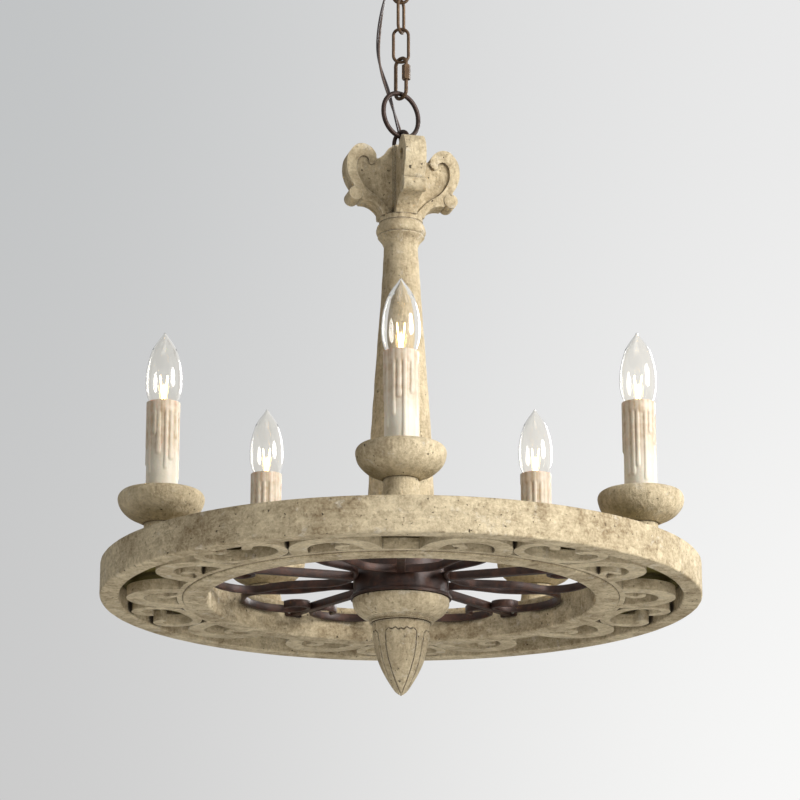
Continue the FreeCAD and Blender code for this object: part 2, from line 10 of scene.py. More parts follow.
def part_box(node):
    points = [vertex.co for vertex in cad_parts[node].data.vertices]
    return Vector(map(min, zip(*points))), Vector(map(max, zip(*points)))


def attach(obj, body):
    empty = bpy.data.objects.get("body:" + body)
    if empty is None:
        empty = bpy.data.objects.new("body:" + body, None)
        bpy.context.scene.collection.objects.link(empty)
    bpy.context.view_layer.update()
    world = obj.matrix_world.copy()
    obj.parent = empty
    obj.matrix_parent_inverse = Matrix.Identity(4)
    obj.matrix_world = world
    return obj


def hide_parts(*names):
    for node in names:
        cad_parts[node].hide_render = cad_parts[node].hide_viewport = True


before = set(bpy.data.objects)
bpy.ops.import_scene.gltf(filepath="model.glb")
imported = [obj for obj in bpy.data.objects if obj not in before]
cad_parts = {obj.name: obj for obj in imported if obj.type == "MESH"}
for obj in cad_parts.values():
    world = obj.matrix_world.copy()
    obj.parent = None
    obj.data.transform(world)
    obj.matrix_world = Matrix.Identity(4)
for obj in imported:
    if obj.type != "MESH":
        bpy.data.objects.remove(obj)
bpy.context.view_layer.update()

bl_info = {
    "name": "Wagon wheel chandelier",
    "version": (1, 0, 0),
    "blender": (4, 5, 0),
    "location": "View3D > Sidebar > Chandelier",
    "description": "Dresses the chandelier's solids: limed wood, ironwork, chain, "
                   "candles and lamps",
    "category": "Object",
}


# ---- places taken from the frame ----
MM = 0.001
WHEEL_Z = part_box("outer_rim")[0][2]                  # underside of the wheel
LIGHT_COUNT = 5
FIRST_LIGHT = math.radians(-90)
CHANDELIER = "chandelier"


def up(height):
    """Row-frame height of a point so many millimetres above the wheel's underside."""
    return WHEEL_Z + height * MM


def at_each_light(node):
    """Numbered node names, one for each light."""
    return [node % number for number in range(1, LIGHT_COUNT + 1)]


def light_places():
    """Centres of the five lights, from the candle cups of the frame."""
    places = []
    for node in at_each_light("candle_bowl_%d"):
        low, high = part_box(node)
        places.append(((low[0] + high[0]) / 2, (low[1] + high[1]) / 2))
    return places


LIGHTS = light_places()


# ---- sizes and colours that a user would change ----
def paint(red, green, blue):
    """Linear colour from 0-255 display values."""
    def channel(value):
        value /= 255
        return value / 12.92 if value <= 0.04045 else ((value + 0.055) / 1.055) ** 2.4
    return (channel(red), channel(green), channel(blue))


def colour(name, description, value):
    return FloatVectorProperty(name=name, description=description, subtype="COLOR",
                               size=3, min=0, max=1, default=value)


def length(name, description, value):
    return FloatProperty(name=name, description=description, unit="LENGTH", min=0, default=value)


class ChandelierWood(bpy.types.PropertyGroup):
    """Colours of the limed and distressed wood."""
    lime: colour("Lime wash", "Pale top coat of the wood", paint(228, 211, 176))
    umber: colour("Umber wash", "Darker glaze left in patches", paint(126, 104, 72))
    # Also the colour that grooves and corners are darkened towards as painted shade.
    grime: colour("Grime", "Stain in carved grooves and pits", paint(48, 36, 24))
    # The board's dark olive is partly its stain and partly painted shade of the recess behind
    # the fretwork.
    olive: colour("Backing board", "Olive stain of the board behind the fretwork",
                  paint(118, 108, 52))
    shade: colour("Board shade", "Darker patches of that stain", paint(74, 66, 32))


class ChandelierMetal(bpy.types.PropertyGroup):
    """Colours of the ironwork, chain and lamp fittings."""
    rust: colour("Rust", "Rust-brown paint of the spokes and drum", paint(48, 33, 28))
    bronze: colour("Bronze", "Paint of the chain and canopy", paint(96, 74, 52))
    dark: colour("Dark bronze", "Paint of the ring and the eye under it", paint(58, 42, 34))
    # Lightens rubbed edges: real wear, and a painted highlight along the edges.
    worn: colour("Worn edge", "Metal that shows at rubbed edges", paint(184, 150, 106))
    brass: colour("Lamp cap", "Metal of the lamp caps", paint(196, 170, 112))


class ChandelierLamps(bpy.types.PropertyGroup):
    """Candle sleeves, lamps and their light."""
    wax: colour("Wax", "Clean wax of the candle sleeves", paint(233, 224, 206))
    drip: colour("Stained wax", "Stain between the wax drips", paint(168, 134, 90))
    glow: colour("Glow", "Colour of the lit filaments", paint(255, 214, 140))
    power: FloatProperty(name="Filament strength", description="Emission of the lit filaments",
                         min=0, default=38.0)
    drips: IntProperty(name="Drips", description="Wax drips round each sleeve",
                       min=3, max=24, default=15)


class ChandelierSizes(bpy.types.PropertyGroup):
    """Sizes of details that the solids leave plain."""
    edge: length("Worn edge width", "Rounding of the wood's edges", 1.1 * MM)
    groove: length("Leaf groove", "Depth of the grooves round the finial's leaves", 1.5 * MM)
    strand: length("Cord strand", "Diameter of one strand of the twin cord", 2.6 * MM)


# ---- small tools for node trees ----
def add(tree, kind, values=None, **settings):
    """New node, its attributes from keywords and its inputs from a dictionary; an
    output socket given as a value is linked."""
    made = tree.nodes.new(kind)
    for key, value in settings.items():
        setattr(made, key, value)
    for key, value in (values or {}).items():
        plug(tree, made.inputs[key], value)
    return made


def plug(tree, socket, value):
    if isinstance(value, bpy.types.NodeSocket):
        tree.links.new(value, socket)
    elif isinstance(value, tuple) and len(value) == 3 and socket.type == "RGBA":
        socket.default_value = (*value, 1)
    else:
        socket.default_value = value


def sum_of(tree, first, second, operation="ADD", clamp=False):
    made = add(tree, "ShaderNodeMath", operation=operation, use_clamp=clamp)
    plug(tree, made.inputs[0], first)
    plug(tree, made.inputs[1], second)
    return made.outputs[0]


def times(tree, first, second, clamp=False):
    return sum_of(tree, first, second, "MULTIPLY", clamp)


def total(tree, *parts):
    """Sum of values, each with its weight."""
    made = None
    for value, weight in parts:
        part = times(tree, value, weight)
        made = part if made is None else sum_of(tree, made, part)
    return made


def vectors(tree, operation, *values):
    made = add(tree, "ShaderNodeVectorMath", operation=operation)
    for socket, value in zip(made.inputs, values):
        plug(tree, socket, value)
    return made


def blend_colours(tree, factor, first, second):
    made = add(tree, "ShaderNodeMix", data_type="RGBA")
    for place, value in ((0, factor), (6, first), (7, second)):
        plug(tree, made.inputs[place], value)
    return made.outputs[2]


def blend_shaders(tree, factor, first, second, output):
    made = add(tree, "ShaderNodeMixShader")
    for socket, value in zip(made.inputs, (factor, first, second)):
        plug(tree, socket, value)
    plug(tree, output.inputs["Surface"], made.outputs[0])


def ramp(tree, value, low, high):
    """Value mapped smoothly from low..high to 0..1."""
    made = add(tree, "ShaderNodeMapRange", {"Value": value, "From Min": low, "From Max": high},
               interpolation_type="SMOOTHSTEP")
    return made.outputs[0]


def clouds(tree, scale, detail, rough=0.5, where=None):
    """Noise in the object's own coordinates, or at a given vector."""
    where = where or add(tree, "ShaderNodeTexCoord").outputs["Object"]
    return add(tree, "ShaderNodeTexNoise", {"Vector": where, "Scale": scale, "Detail": detail,
                                            "Roughness": rough}).outputs


def group(name, inputs, outputs):
    """Empty shader group with named sockets; gives the tree, its input and output nodes."""
    tree = bpy.data.node_groups.new(name, "ShaderNodeTree")
    for label, kind, value in inputs:
        socket = tree.interface.new_socket(name=label, in_out="INPUT", socket_type=kind)
        if value is not None:
            socket.default_value = value
    for label, kind in outputs:
        tree.interface.new_socket(name=label, in_out="OUTPUT", socket_type=kind)
    return tree, tree.nodes.new("NodeGroupInput"), tree.nodes.new("NodeGroupOutput")


FLOAT, COLOUR, VECTOR = "NodeSocketFloat", "NodeSocketColor", "NodeSocketVector"
PALE_LIME = (0.84, 0.78, 0.66)                       # linear colours
# Colour of the wood's edges: rubbed lime wash and a painted highlight.
RUBBED_AND_HIGHLIT_LIME = (0.78, 0.70, 0.55)


def crevice_grime_and_shade_group():
    """Grime and painted shade: ambient occlusion gives 1 in grooves and corners, where shade
    falls, and 0 on open faces.
    """
    tree, start, end = group("Grime in crevices", [("Reach", FLOAT, 0.012),
                                                   ("Amount", FLOAT, 1.0)], [("Mask", FLOAT)])
    shade = add(tree, "ShaderNodeAmbientOcclusion", {"Distance": start.outputs["Reach"]},
                samples=6)
    near = ramp(tree, shade.outputs["AO"], 0.86, 0.42)
    plug(tree, end.inputs["Mask"], times(tree, near, start.outputs["Amount"], True))
    return tree


def edge_wear_and_highlight_group():
    """Wear and painted highlight mask: 1 along outer edges, broken up by noise."""
    tree, start, end = group("Worn edges", [("Radius", FLOAT, 0.0015), ("Amount", FLOAT, 1.0),
                                            ("Grain", FLOAT, 300.0)], [("Mask", FLOAT)])
    rounded = add(tree, "ShaderNodeBevel", {"Radius": start.outputs["Radius"]}, samples=4)
    flat = add(tree, "ShaderNodeNewGeometry")
    dot = vectors(tree, "DOT_PRODUCT", rounded.outputs[0], flat.outputs["Normal"])
    edge = ramp(tree, dot.outputs["Value"], 0.995, 0.88)
    broken = clouds(tree, start.outputs["Grain"], 3.0)
    mask = times(tree, edge, ramp(tree, broken["Fac"], 0.35, 0.6))
    plug(tree, end.inputs["Mask"], times(tree, mask, start.outputs["Amount"], True))
    return tree


def limed_wood_group():
    """Limed wood: cloudy wash, fine mottle, grain lines and sparse worm-eaten pits."""
    tree, start, end = group(
        "Limed wood",
        [("Vector", VECTOR, None), ("Lime", COLOUR, None), ("Umber", COLOUR, None),
         ("Grime", COLOUR, None), ("Cloud scale", FLOAT, 17.0), ("Umber amount", FLOAT, 0.5),
         ("Grain stretch", VECTOR, (1.0, 1.0, 0.12)), ("Pits", FLOAT, 1.0),
         ("Chips", FLOAT, 1.0), ("Pale", FLOAT, 0.4)],
        [("Color", COLOUR), ("Roughness", FLOAT), ("Height", FLOAT)])
    get = start.outputs
    at = get["Vector"]

    def patches(scale, detail, rough, low, high, where=at):
        return ramp(tree, clouds(tree, scale, detail, rough, where)["Fac"], low, high)
    stretched = vectors(tree, "MULTIPLY", at, get["Grain stretch"]).outputs[0]
    broad = patches(get["Cloud scale"], 5.0, 0.6, 0.38, 0.64)
    mottle = patches(105.0, 5.0, 0.7, 0.40, 0.62)
    fine = patches(390.0, 5.0, 0.7, 0.38, 0.64)
    grain = patches(260.0, 4.0, 0.6, 0.40, 0.62, stretched)
    wash = total(tree, (broad, 0.44), (mottle, 0.34), (fine, 0.32), (grain, 0.20))
    wash = times(tree, wash, get["Umber amount"], True)
    tone = blend_colours(tree, wash, get["Lime"], get["Umber"])
    pale = times(tree, patches(64.0, 6.0, 0.75, 0.56, 0.68), get["Pale"])
    tone = blend_colours(tree, pale, tone, PALE_LIME)
    chips = times(tree, patches(210.0, 6.0, 0.8, 0.60, 0.70), get["Chips"], True)
    tone = blend_colours(tree, times(tree, chips, 0.55), tone, get["Grime"])
    wander = clouds(tree, 420.0, 2.0, 0.5, at)["Color"]
    bent = vectors(tree, "MULTIPLY_ADD", wander, (0.004, 0.004, 0.004), at).outputs[0]

    def holes(scale, size, share):
        cell = add(tree, "ShaderNodeTexVoronoi", {"Vector": bent, "Scale": scale,
                                                  "Randomness": 1.0})
        pick = add(tree, "ShaderNodeSeparateColor", {"Color": cell.outputs["Color"]})
        kept = sum_of(tree, pick.outputs[0], share, "LESS_THAN")
        return times(tree, kept, ramp(tree, cell.outputs["Distance"], size, size * 0.45))
    pits = sum_of(tree, holes(95.0, 0.15, 0.10), holes(260.0, 0.26, 0.09), "MAXIMUM")
    pits = times(tree, pits, get["Pits"], True)
    tone = blend_colours(tree, times(tree, pits, 0.85), tone, get["Grime"])
    plug(tree, end.inputs["Color"], tone)
    plug(tree, end.inputs["Roughness"], sum_of(tree, times(tree, fine, 0.12), 0.74))
    plug(tree, end.inputs["Height"], total(
        tree, (mottle, 0.34), (grain, 0.20), (fine, 0.16), (chips, -0.5), (broad, 0.25),
        (pits, -1.3)))
    return tree


def patina_group():
    """Painted metal with a clouded patina: colour, roughness and height."""
    tree, start, end = group(
        "Clouded patina", [("Base", COLOUR, None), ("Cloud", COLOUR, None),
                           ("Scale", FLOAT, 90.0), ("Amount", FLOAT, 0.6)],
        [("Color", COLOUR), ("Roughness", FLOAT), ("Height", FLOAT)])
    get = start.outputs
    cloud = clouds(tree, get["Scale"], 6.0, 0.7)["Fac"]
    grit = clouds(tree, 900.0, 3.0)["Fac"]
    mask = times(tree, ramp(tree, cloud, 0.42, 0.66), get["Amount"], True)
    plug(tree, end.inputs["Color"], blend_colours(tree, mask, get["Base"], get["Cloud"]))
    plug(tree, end.inputs["Roughness"], sum_of(tree, times(tree, mask, 0.25), 0.42))
    plug(tree, end.inputs["Height"], sum_of(tree, cloud, times(tree, grit, 0.35)))
    return tree


GROUPS = {}


def shared(name):
    """Node group by name, built once."""
    builders = {"crevice": crevice_grime_and_shade_group, "edge": edge_wear_and_highlight_group, "wood": limed_wood_group,
                "patina": patina_group}
    if name not in GROUPS:
        GROUPS[name] = builders[name]()
    return GROUPS[name]


def use_group(tree, name, values=None):
    made = tree.nodes.new("ShaderNodeGroup")
    made.node_tree = shared(name)
    for key, value in (values or {}).items():
        plug(tree, made.inputs[key], value)
    return made


# ---- materials ----
MATERIALS = {}


# Finish: name, umber, stretch of the grain, scale of the clouds, pits, and for the board its
# two colours, pale patches and wear.
WOODS = {"rim wood": ("Limed rim", 0.74, (0.3, 0.3, 1.0), 19.0, 1.1),
         "turned wood": ("Limed turning", 0.62, (1.0, 1.0, 0.1), 20.0, 1.0),
         "carved wood": ("Limed carving", 0.62, (1.0, 1.0, 0.25), 24.0, 1.0),
         "fret wood": ("Limed fretwork", 0.60, (0.3, 0.3, 1.0), 26.0, 0.6),
         "board": ("Olive board", 0.7, (1.0, 1.0, 0.2), 24.0, 0.3, "olive", "shade", 0.0, 0.0)}
# Finish: name, base, clouds, worn edge (rubbed metal and painted highlight), wear, metallic,
# scale of the clouds. A word is a colour of the panel.
METALS = {"iron": ("Rusted iron", "rust", paint(86, 54, 40), "worn", 0.16, 0.35, 90.0),
          "bronze": ("Aged bronze", "bronze", paint(60, 44, 33), "worn", 0.7, 0.55, 140.0),
          "dark bronze": ("Dark bronze", "dark", paint(40, 29, 25), "worn", 0.4, 0.5, 140.0),
          "plated": ("Zinc plate", paint(176, 172, 160), paint(140, 136, 124),
                     paint(200, 196, 188), 0.2, 0.9, 200.0),
          "brass": ("Lamp cap metal", "brass", paint(150, 124, 76), paint(224, 206, 160),
                    0.3, 0.9, 240.0),
          "phenolic": ("Lampholder", paint(72, 58, 44), paint(52, 40, 32), paint(96, 80, 62),
                       0.2, 0.0, 200.0)}
# Finish: name, colour, clear coat.
CORDS = {"dark cord": ("Dark strand", paint(50, 36, 33), 0.3),
         "clear cord": ("Clear strand", paint(96, 76, 64), 0.6)}


def blank_material(name, values=None):
    """Material with its tree and its surface, whose inputs take the values."""
    made = bpy.data.materials.new(name)
    made.use_nodes = True
    tree = made.node_tree
    surface = tree.nodes["Principled BSDF"]
    for key, value in (values or {}).items():
        plug(tree, surface.inputs[key], value)
    return made, tree, surface


def bump(tree, height, distance):
    return add(tree, "ShaderNodeBump", {"Height": height, "Distance": distance,
                                        "Strength": 1.0}).outputs["Normal"]


def dress(tree, surface, tone, height, distance):
    plug(tree, surface.inputs["Base Color"], tone)
    plug(tree, surface.inputs["Normal"], bump(tree, height, distance))


def limed_wood(name, umber_amount, stretch, cloud, pits, lime="lime", umber="umber",
               pale=0.4, wear=0.55):
    settings = bpy.context.scene.chandelier_wood
    made, tree, surface = blank_material(name, {"Specular IOR Level": 0.28})
    place = add(tree, "ShaderNodeTexCoord")
    wood = use_group(tree, "wood", {
        "Vector": place.outputs["Object"], "Lime": tuple(getattr(settings, lime)),
        "Umber": tuple(getattr(settings, umber)), "Grime": tuple(settings.grime),
        "Umber amount": umber_amount, "Grain stretch": stretch, "Cloud scale": cloud,
        "Pits": pits, "Chips": pits, "Pale": pale})
    # Grooves and corners found by ambient occlusion are darkened towards the grime colour: grime
    # and painted shade.
    grime_and_shade_mask = use_group(tree, "crevice", {"Reach": 0.006, "Amount": 0.9})
    # Edges lightened: rubbed wear and a painted highlight.
    worn = use_group(tree, "edge", {"Radius": 0.0016, "Amount": wear})
    tone = blend_colours(tree, worn.outputs["Mask"], wood.outputs["Color"], RUBBED_AND_HIGHLIT_LIME)
    tone = blend_colours(tree, grime_and_shade_mask.outputs["Mask"], tone, tuple(settings.grime))
    plug(tree, surface.inputs["Roughness"], wood.outputs["Roughness"])
    dress(tree, surface, tone, wood.outputs["Height"], 0.0011)
    return made


def painted_metal(name, base, cloud, worn, wear, metallic, scale):
    settings = bpy.context.scene.chandelier_metal
    base, cloud, worn = (tuple(getattr(settings, tone)) if isinstance(tone, str) else tone
                         for tone in (base, cloud, worn))
    made, tree, surface = blank_material(name, {"Metallic": metallic})
    patina = use_group(tree, "patina", {"Base": base, "Cloud": cloud, "Scale": scale})
    # Edges lightened: rubbed wear and a painted highlight.
    edge = use_group(tree, "edge", {"Radius": 0.0008, "Amount": wear, "Grain": 420.0})
    tone = blend_colours(tree, edge.outputs["Mask"], patina.outputs["Color"], worn)
    plug(tree, surface.inputs["Roughness"], patina.outputs["Roughness"])
    dress(tree, surface, tone, patina.outputs["Height"], 0.0004)
    return made


def cord_material(name, base, clear):
    made, tree, surface = blank_material(name, {"Roughness": 0.3, "Coat Weight": clear})
    cloud = clouds(tree, 260.0, 3.0)["Fac"]
    tone = blend_colours(tree, ramp(tree, cloud, 0.35, 0.7), base,
                         tuple(c * 0.72 for c in base))
    dress(tree, surface, tone, cloud, 0.0002)
    return made


def wax_material():
    """Aged wax: pale below, stained between the drips; the sleeve's own
    attribute 'stain' says where."""
    lamps = bpy.context.scene.chandelier_lamps
    made, tree, surface = blank_material("Aged wax", {
        "Roughness": 0.48, "Subsurface Weight": 0.12, "Subsurface Scale": 0.004})
    stain = add(tree, "ShaderNodeAttribute", attribute_name="stain")
    cloud = clouds(tree, 130.0, 5.0)["Fac"]
    patchy = sum_of(tree, times(tree, ramp(tree, cloud, 0.3, 0.7), 0.5), 0.7)
    mask = times(tree, stain.outputs["Fac"], patchy, True)
    tone = blend_colours(tree, mask, tuple(lamps.wax), tuple(lamps.drip))
    # Grooves and corners of the wax found by ambient occlusion are darkened to brown: grime and
    # painted shade.
    grime_and_shade_mask = use_group(tree, "crevice", {"Reach": 0.003, "Amount": 0.2})
    tone = blend_colours(tree, grime_and_shade_mask.outputs["Mask"], tone, paint(96, 66, 38))
    dress(tree, surface, tone, cloud, 0.0005)
    return made


def glass_material():
    """Clear lamp glass that lets its own light out without a dark shadow."""
    made, tree, surface = blank_material("Lamp glass", {
        "Base Color": (1.0, 0.985, 0.95), "Transmission Weight": 1.0, "Roughness": 0.0,
        "IOR": 1.45})
    path = add(tree, "ShaderNodeLightPath")
    clear = add(tree, "ShaderNodeBsdfTransparent", {"Color": (0.97, 0.96, 0.93)})
    blend_shaders(tree, path.outputs["Is Shadow Ray"], surface.outputs[0], clear.outputs[0],
                  tree.nodes["Material Output"])
    return made


def stem_glass_material():
    return blank_material("Stem glass", {"Base Color": (0.93, 0.90, 0.84), "Roughness": 0.18,
                                         "Alpha": 0.55})[0]


def filament_material():
    lamps = bpy.context.scene.chandelier_lamps
    return blank_material("Lit filament", {
        "Base Color": tuple(lamps.glow), "Emission Color": tuple(lamps.glow),
        "Emission Strength": lamps.power})[0]


def material(finish):
    """Material of a finish, built once."""
    plain = {"wax": wax_material, "glass": glass_material, "stem": stem_glass_material,
             "filament": filament_material}
    if finish not in MATERIALS:
        for table, builder in ((WOODS, limed_wood), (METALS, painted_metal),
                               (CORDS, cord_material)):
            if finish in table:
                MATERIALS[finish] = builder(*table[finish])
        if finish in plain:
            MATERIALS[finish] = plain[finish]()
    return MATERIALS[finish]


# ---- small tools for meshes ----
def piece(name, verts, faces, finish, sharp=35):
    """Mesh object at the origin, with outward normals and sharp edges by angle."""
    mesh = bpy.data.meshes.new(name)
    mesh.from_pydata([tuple(v) for v in verts], [], faces)
    made = bpy.data.objects.new(name, mesh)
    bpy.context.scene.collection.objects.link(made)
    tidy(made, sharp)
    mesh.materials.append(material(finish))
    return made


def smooth(made, sharp):
    """Smooth shading with sharp edges by angle, in degrees."""
    made.data.shade_smooth()
    made.data.set_sharp_from_angle(angle=math.radians(sharp))


def tidy(made, sharp=35):
    """Joins doubled points, turns the normals outwards and shades the mesh."""
    work = bmesh.new()
    work.from_mesh(made.data)
    bmesh.ops.remove_doubles(work, verts=work.verts, dist=1e-6)
    bmesh.ops.recalc_face_normals(work, faces=work.faces)
    work.to_mesh(made.data)
    work.free()
    smooth(made, sharp)


def bake(made):
    """Turns the object's modifiers into a plain mesh."""
    graph = bpy.context.evaluated_depsgraph_get()
    mesh = bpy.data.meshes.new_from_object(made.evaluated_get(graph), depsgraph=graph)
    made.modifiers.clear()
    made.data = mesh
    return made


def soften(made, width, angle):
    """Rounds the sharp edges and applies the result."""
    bevel = made.modifiers.new("Soft edges", "BEVEL")
    bevel.width = width
    bevel.segments = 2
    bevel.limit_method = "ANGLE"
    bevel.angle_limit = math.radians(angle)
    bake(made)
    smooth(made, 45)
    return made


def solid_copy(node, name, finish, sharp=32):
    """Merged copy of a node's mesh as a new piece that can be carved and rounded."""
    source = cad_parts[node].data
    verts = [tuple(v.co) for v in source.vertices]
    faces = [tuple(p.vertices) for p in source.polygons]
    made = piece(name, verts, faces, finish, sharp)
    work = bmesh.new()
    work.from_mesh(made.data)
    bmesh.ops.dissolve_degenerate(work, edges=work.edges, dist=1e-6)
    bmesh.ops.dissolve_limit(work, angle_limit=math.radians(0.6), verts=work.verts,
                             edges=work.edges)
    work.to_mesh(made.data)
    work.free()
    smooth(made, sharp)
    return made


def smooth_run(points, steps=6):
    """Points of a smooth curve through the given ones."""
    out = []
    first = tuple(2 * a - b for a, b in zip(points[0], points[1]))
    last = tuple(2 * a - b for a, b in zip(points[-1], points[-2]))
    full = [first] + list(points) + [last]
    for p0, p1, p2, p3 in zip(full, full[1:], full[2:], full[3:]):
        for step in range(steps):
            t = step / steps
            out.append(tuple(0.5 * (2 * b + (c - a) * t + (2 * a - 5 * b + 4 * c - d) * t * t
                                    + (3 * b - a - 3 * c + d) * t ** 3)
                             for a, b, c, d in zip(p0, p1, p2, p3)))
    out.append(tuple(points[-1]))
    return out


def outline(runs, steps=6):
    """(radius, height) points in millimetres from straight and curved runs; a curve
    starts at the last point of the run before it."""
    points = []
    for kind, given in runs:
        if kind == "line" or not points:
            points += list(given)
        else:
            points += smooth_run([points[-1]] + list(given), steps)[1:]
    return points


def around(centre, radius, angle, height):
    """Point at a distance in metres from a vertical axis."""
    return (centre[0] + radius * math.cos(angle), centre[1] + radius * math.sin(angle),
            up(height))


def skin(rings):
    """Faces between successive rings of point numbers; a ring of one is a tip."""
    faces = []
    for one, two in zip(rings, rings[1:]):
        sides = max(len(one), len(two))
        for k in range(sides if sides > 1 else 0):
            n = (k + 1) % sides
            corners = (one[k % len(one)], one[n % len(one)], two[n % len(two)],
                       two[k % len(two)])
            faces.append(tuple(dict.fromkeys(corners)))
    return faces


def ends(rings):
    return [tuple(reversed(rings[0])), tuple(rings[-1])]


def joined(parts):
    verts, faces = [], []
    for v, f in parts:
        faces += [tuple(i + len(verts) for i in face) for face in f]
        verts += list(v)
    return verts, faces


def lathe(name, points, finish, centre=(0, 0), segments=96, closed=False, shift=None):
    """Turned piece from (radius, height above the wheel's underside) in millimetres.
    Open outlines start and end on the axis. shift(angle, radius, height) moves a
    point outwards, for carving."""
    verts, rings = [], []
    for radius, height in points:
        sides = segments if radius > 0 else 1
        rings.append(range(len(verts), len(verts) + sides))
        for k in range(sides):
            angle = 2 * math.pi * k / segments
            r = radius + (shift(angle, radius, height) if shift and sides > 1 else 0)
            verts.append(around(centre, r * MM, angle, height))
    return piece(name, verts, skin(rings + rings[:1] if closed else rings), finish)


def turned(name, points, finish, slot, node, body=CHANDELIER, **shape):
    """Turned ring on a body, in place of its node."""
    return place(lathe(name, points, finish, closed=True, **shape), body, slot, node)


def place(made, body, slot, *nodes):
    """Puts a finished piece in for the nodes that it stands for."""
    if nodes:
        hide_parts(*nodes)
    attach(made, body)
    return made


def coat(node, finish):
    """New material on a node whose solid stays in view."""
    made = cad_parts[node]
    made.data.materials.clear()
    made.data.materials.append(material(finish))
    for slot in made.material_slots:
        slot.link = "DATA"
        slot.material = material(finish)
    made.data.polygons.foreach_set("material_index", [0] * len(made.data.polygons))


# ---- geometry node trees ----
def geometry_tree(name, inputs):
    tree = bpy.data.node_groups.new(name, "GeometryNodeTree")
    tree.interface.new_socket(name="Geometry", in_out="INPUT", socket_type="NodeSocketGeometry")
    for label, kind in inputs:
        tree.interface.new_socket(name=label, in_out="INPUT", socket_type=kind)
    tree.interface.new_socket(name="Geometry", in_out="OUTPUT", socket_type="NodeSocketGeometry")
    return tree, tree.nodes.new("NodeGroupInput"), tree.nodes.new("NodeGroupOutput")


def finish_tree(tree, start, end, geometry):
    """Every tree ends with real geometry in one material."""
    real = add(tree, "GeometryNodeRealizeInstances", {"Geometry": geometry})
    dressed = add(tree, "GeometryNodeSetMaterial", {"Geometry": real.outputs[0],
                                                    "Material": start.outputs["Material"]})
    plug(tree, end.inputs["Geometry"], dressed.outputs[0])
    return tree


def round_tree():
    """Repeats the input geometry evenly round the hanging axis."""
    tree, start, end = geometry_tree("Repeat round the hub", [
        ("Count", "NodeSocketInt"), ("Material", "NodeSocketMaterial")])
    count = start.outputs["Count"]
    spots = add(tree, "GeometryNodePoints", {"Count": count})
    index = add(tree, "GeometryNodeInputIndex")
    step = sum_of(tree, 2 * math.pi, count, "DIVIDE")
    turn = sum_of(tree, index.outputs[0], step, "MULTIPLY")
    angles = add(tree, "ShaderNodeCombineXYZ", {"Z": turn})
    copies = add(tree, "GeometryNodeInstanceOnPoints", {
        "Points": spots.outputs[0], "Instance": start.outputs["Geometry"],
        "Rotation": angles.outputs[0]})
    return finish_tree(tree, start, end, copies.outputs[0])


def wire_tree():
    """Closed loop of round wire: a rectangle with round ends, standing upright."""
    tree, start, end = geometry_tree("Wire loop", [
        ("Half width", FLOAT), ("Bottom", FLOAT), ("Top", FLOAT), ("Corner", FLOAT),
        ("Wire radius", FLOAT), ("Turn", FLOAT), ("Material", "NodeSocketMaterial")])
    get = start.outputs
    wide = sum_of(tree, get["Half width"], 2.0, "MULTIPLY")
    tall = sum_of(tree, get["Top"], get["Bottom"], "SUBTRACT")
    middle = sum_of(tree, sum_of(tree, get["Top"], get["Bottom"]), 0.5, "MULTIPLY")
    frame_line = add(tree, "GeometryNodeCurvePrimitiveQuadrilateral", {"Width": wide,
                                                                       "Height": tall})
    rounded = add(tree, "GeometryNodeFilletCurve", {"Curve": frame_line.outputs[0],
                                                    "Radius": get["Corner"], "Count": 12},
                  mode="POLY")
    upright = add(tree, "GeometryNodeTransform", {"Geometry": rounded.outputs[0],
                                                  "Rotation": (math.pi / 2, 0, 0)})
    lift = add(tree, "ShaderNodeCombineXYZ", {"Z": middle})
    spin = add(tree, "ShaderNodeCombineXYZ", {"Z": get["Turn"]})
    placed = add(tree, "GeometryNodeTransform", {"Geometry": upright.outputs[0],
                                                 "Translation": lift.outputs[0],
                                                 "Rotation": spin.outputs[0]})
    section = add(tree, "GeometryNodeCurvePrimitiveCircle", {"Resolution": 24,
                                                             "Radius": get["Wire radius"]})
    wire = add(tree, "GeometryNodeCurveToMesh", {"Curve": placed.outputs[0],
                                                 "Profile Curve": section.outputs[0]})
    shaded = add(tree, "GeometryNodeSetShadeSmooth", {"Geometry": wire.outputs[0]})
    return finish_tree(tree, start, end, shaded.outputs[0])


TREES = {}


def grow(made, name, builder, values, finish):
    """Runs a geometry tree on an object and keeps the result as a plain mesh."""
    if name not in TREES:
        TREES[name] = builder()
    tree = TREES[name]
    modifier = made.modifiers.new(name, "NODES")
    modifier.node_group = tree
    values = dict(values, Material=material(finish))
    for item in tree.interface.items_tree:
        if item.in_out == "INPUT" and item.name in values:
            modifier[item.identifier] = values[item.name]
    return bake(made)


def round_the_hub(made, finish):
    grow(made, "Repeat round the hub", round_tree, {"Count": LIGHT_COUNT}, finish)
    tidy(made)
    return made


def turned_to(verts, angle):
    """Points turned about the hanging axis."""
    c, s = math.cos(angle), math.sin(angle)
    return [(x * c - y * s, x * s + y * c, z) for x, y, z in verts]


# ---- lamp cord ----
# Where the cord leaves the canopy's loop, and its route, in millimetres with heights above
# the wheel's underside, as in the solids.
CORD_EXIT = 702.2
CORD_ROUTE = [(0, 0, 716), (0, 0, CORD_EXIT), (-2.4, 2.2, 695.4), (-5.6, 4.6, 688),
              (-10.5, 4.6, 675.5), (-17.6, 3.4, 655), (-22, 2.4, 630), (-24.4, 1.6, 603),
              (-23.4, 1.2, 584), (-19.4, 1.0, 567), (-14.2, 1.1, 551), (-9.4, 2.8, 534),
              (-4.6, 5.2, 517), (-0.9, 7.2, 504.5), (-0.2, 7.2, 494.6), (-0.2, 3.6, 488.8),
              (0, 0, 484), (0, 0, 475)]
CORD_TURNS = 2.6


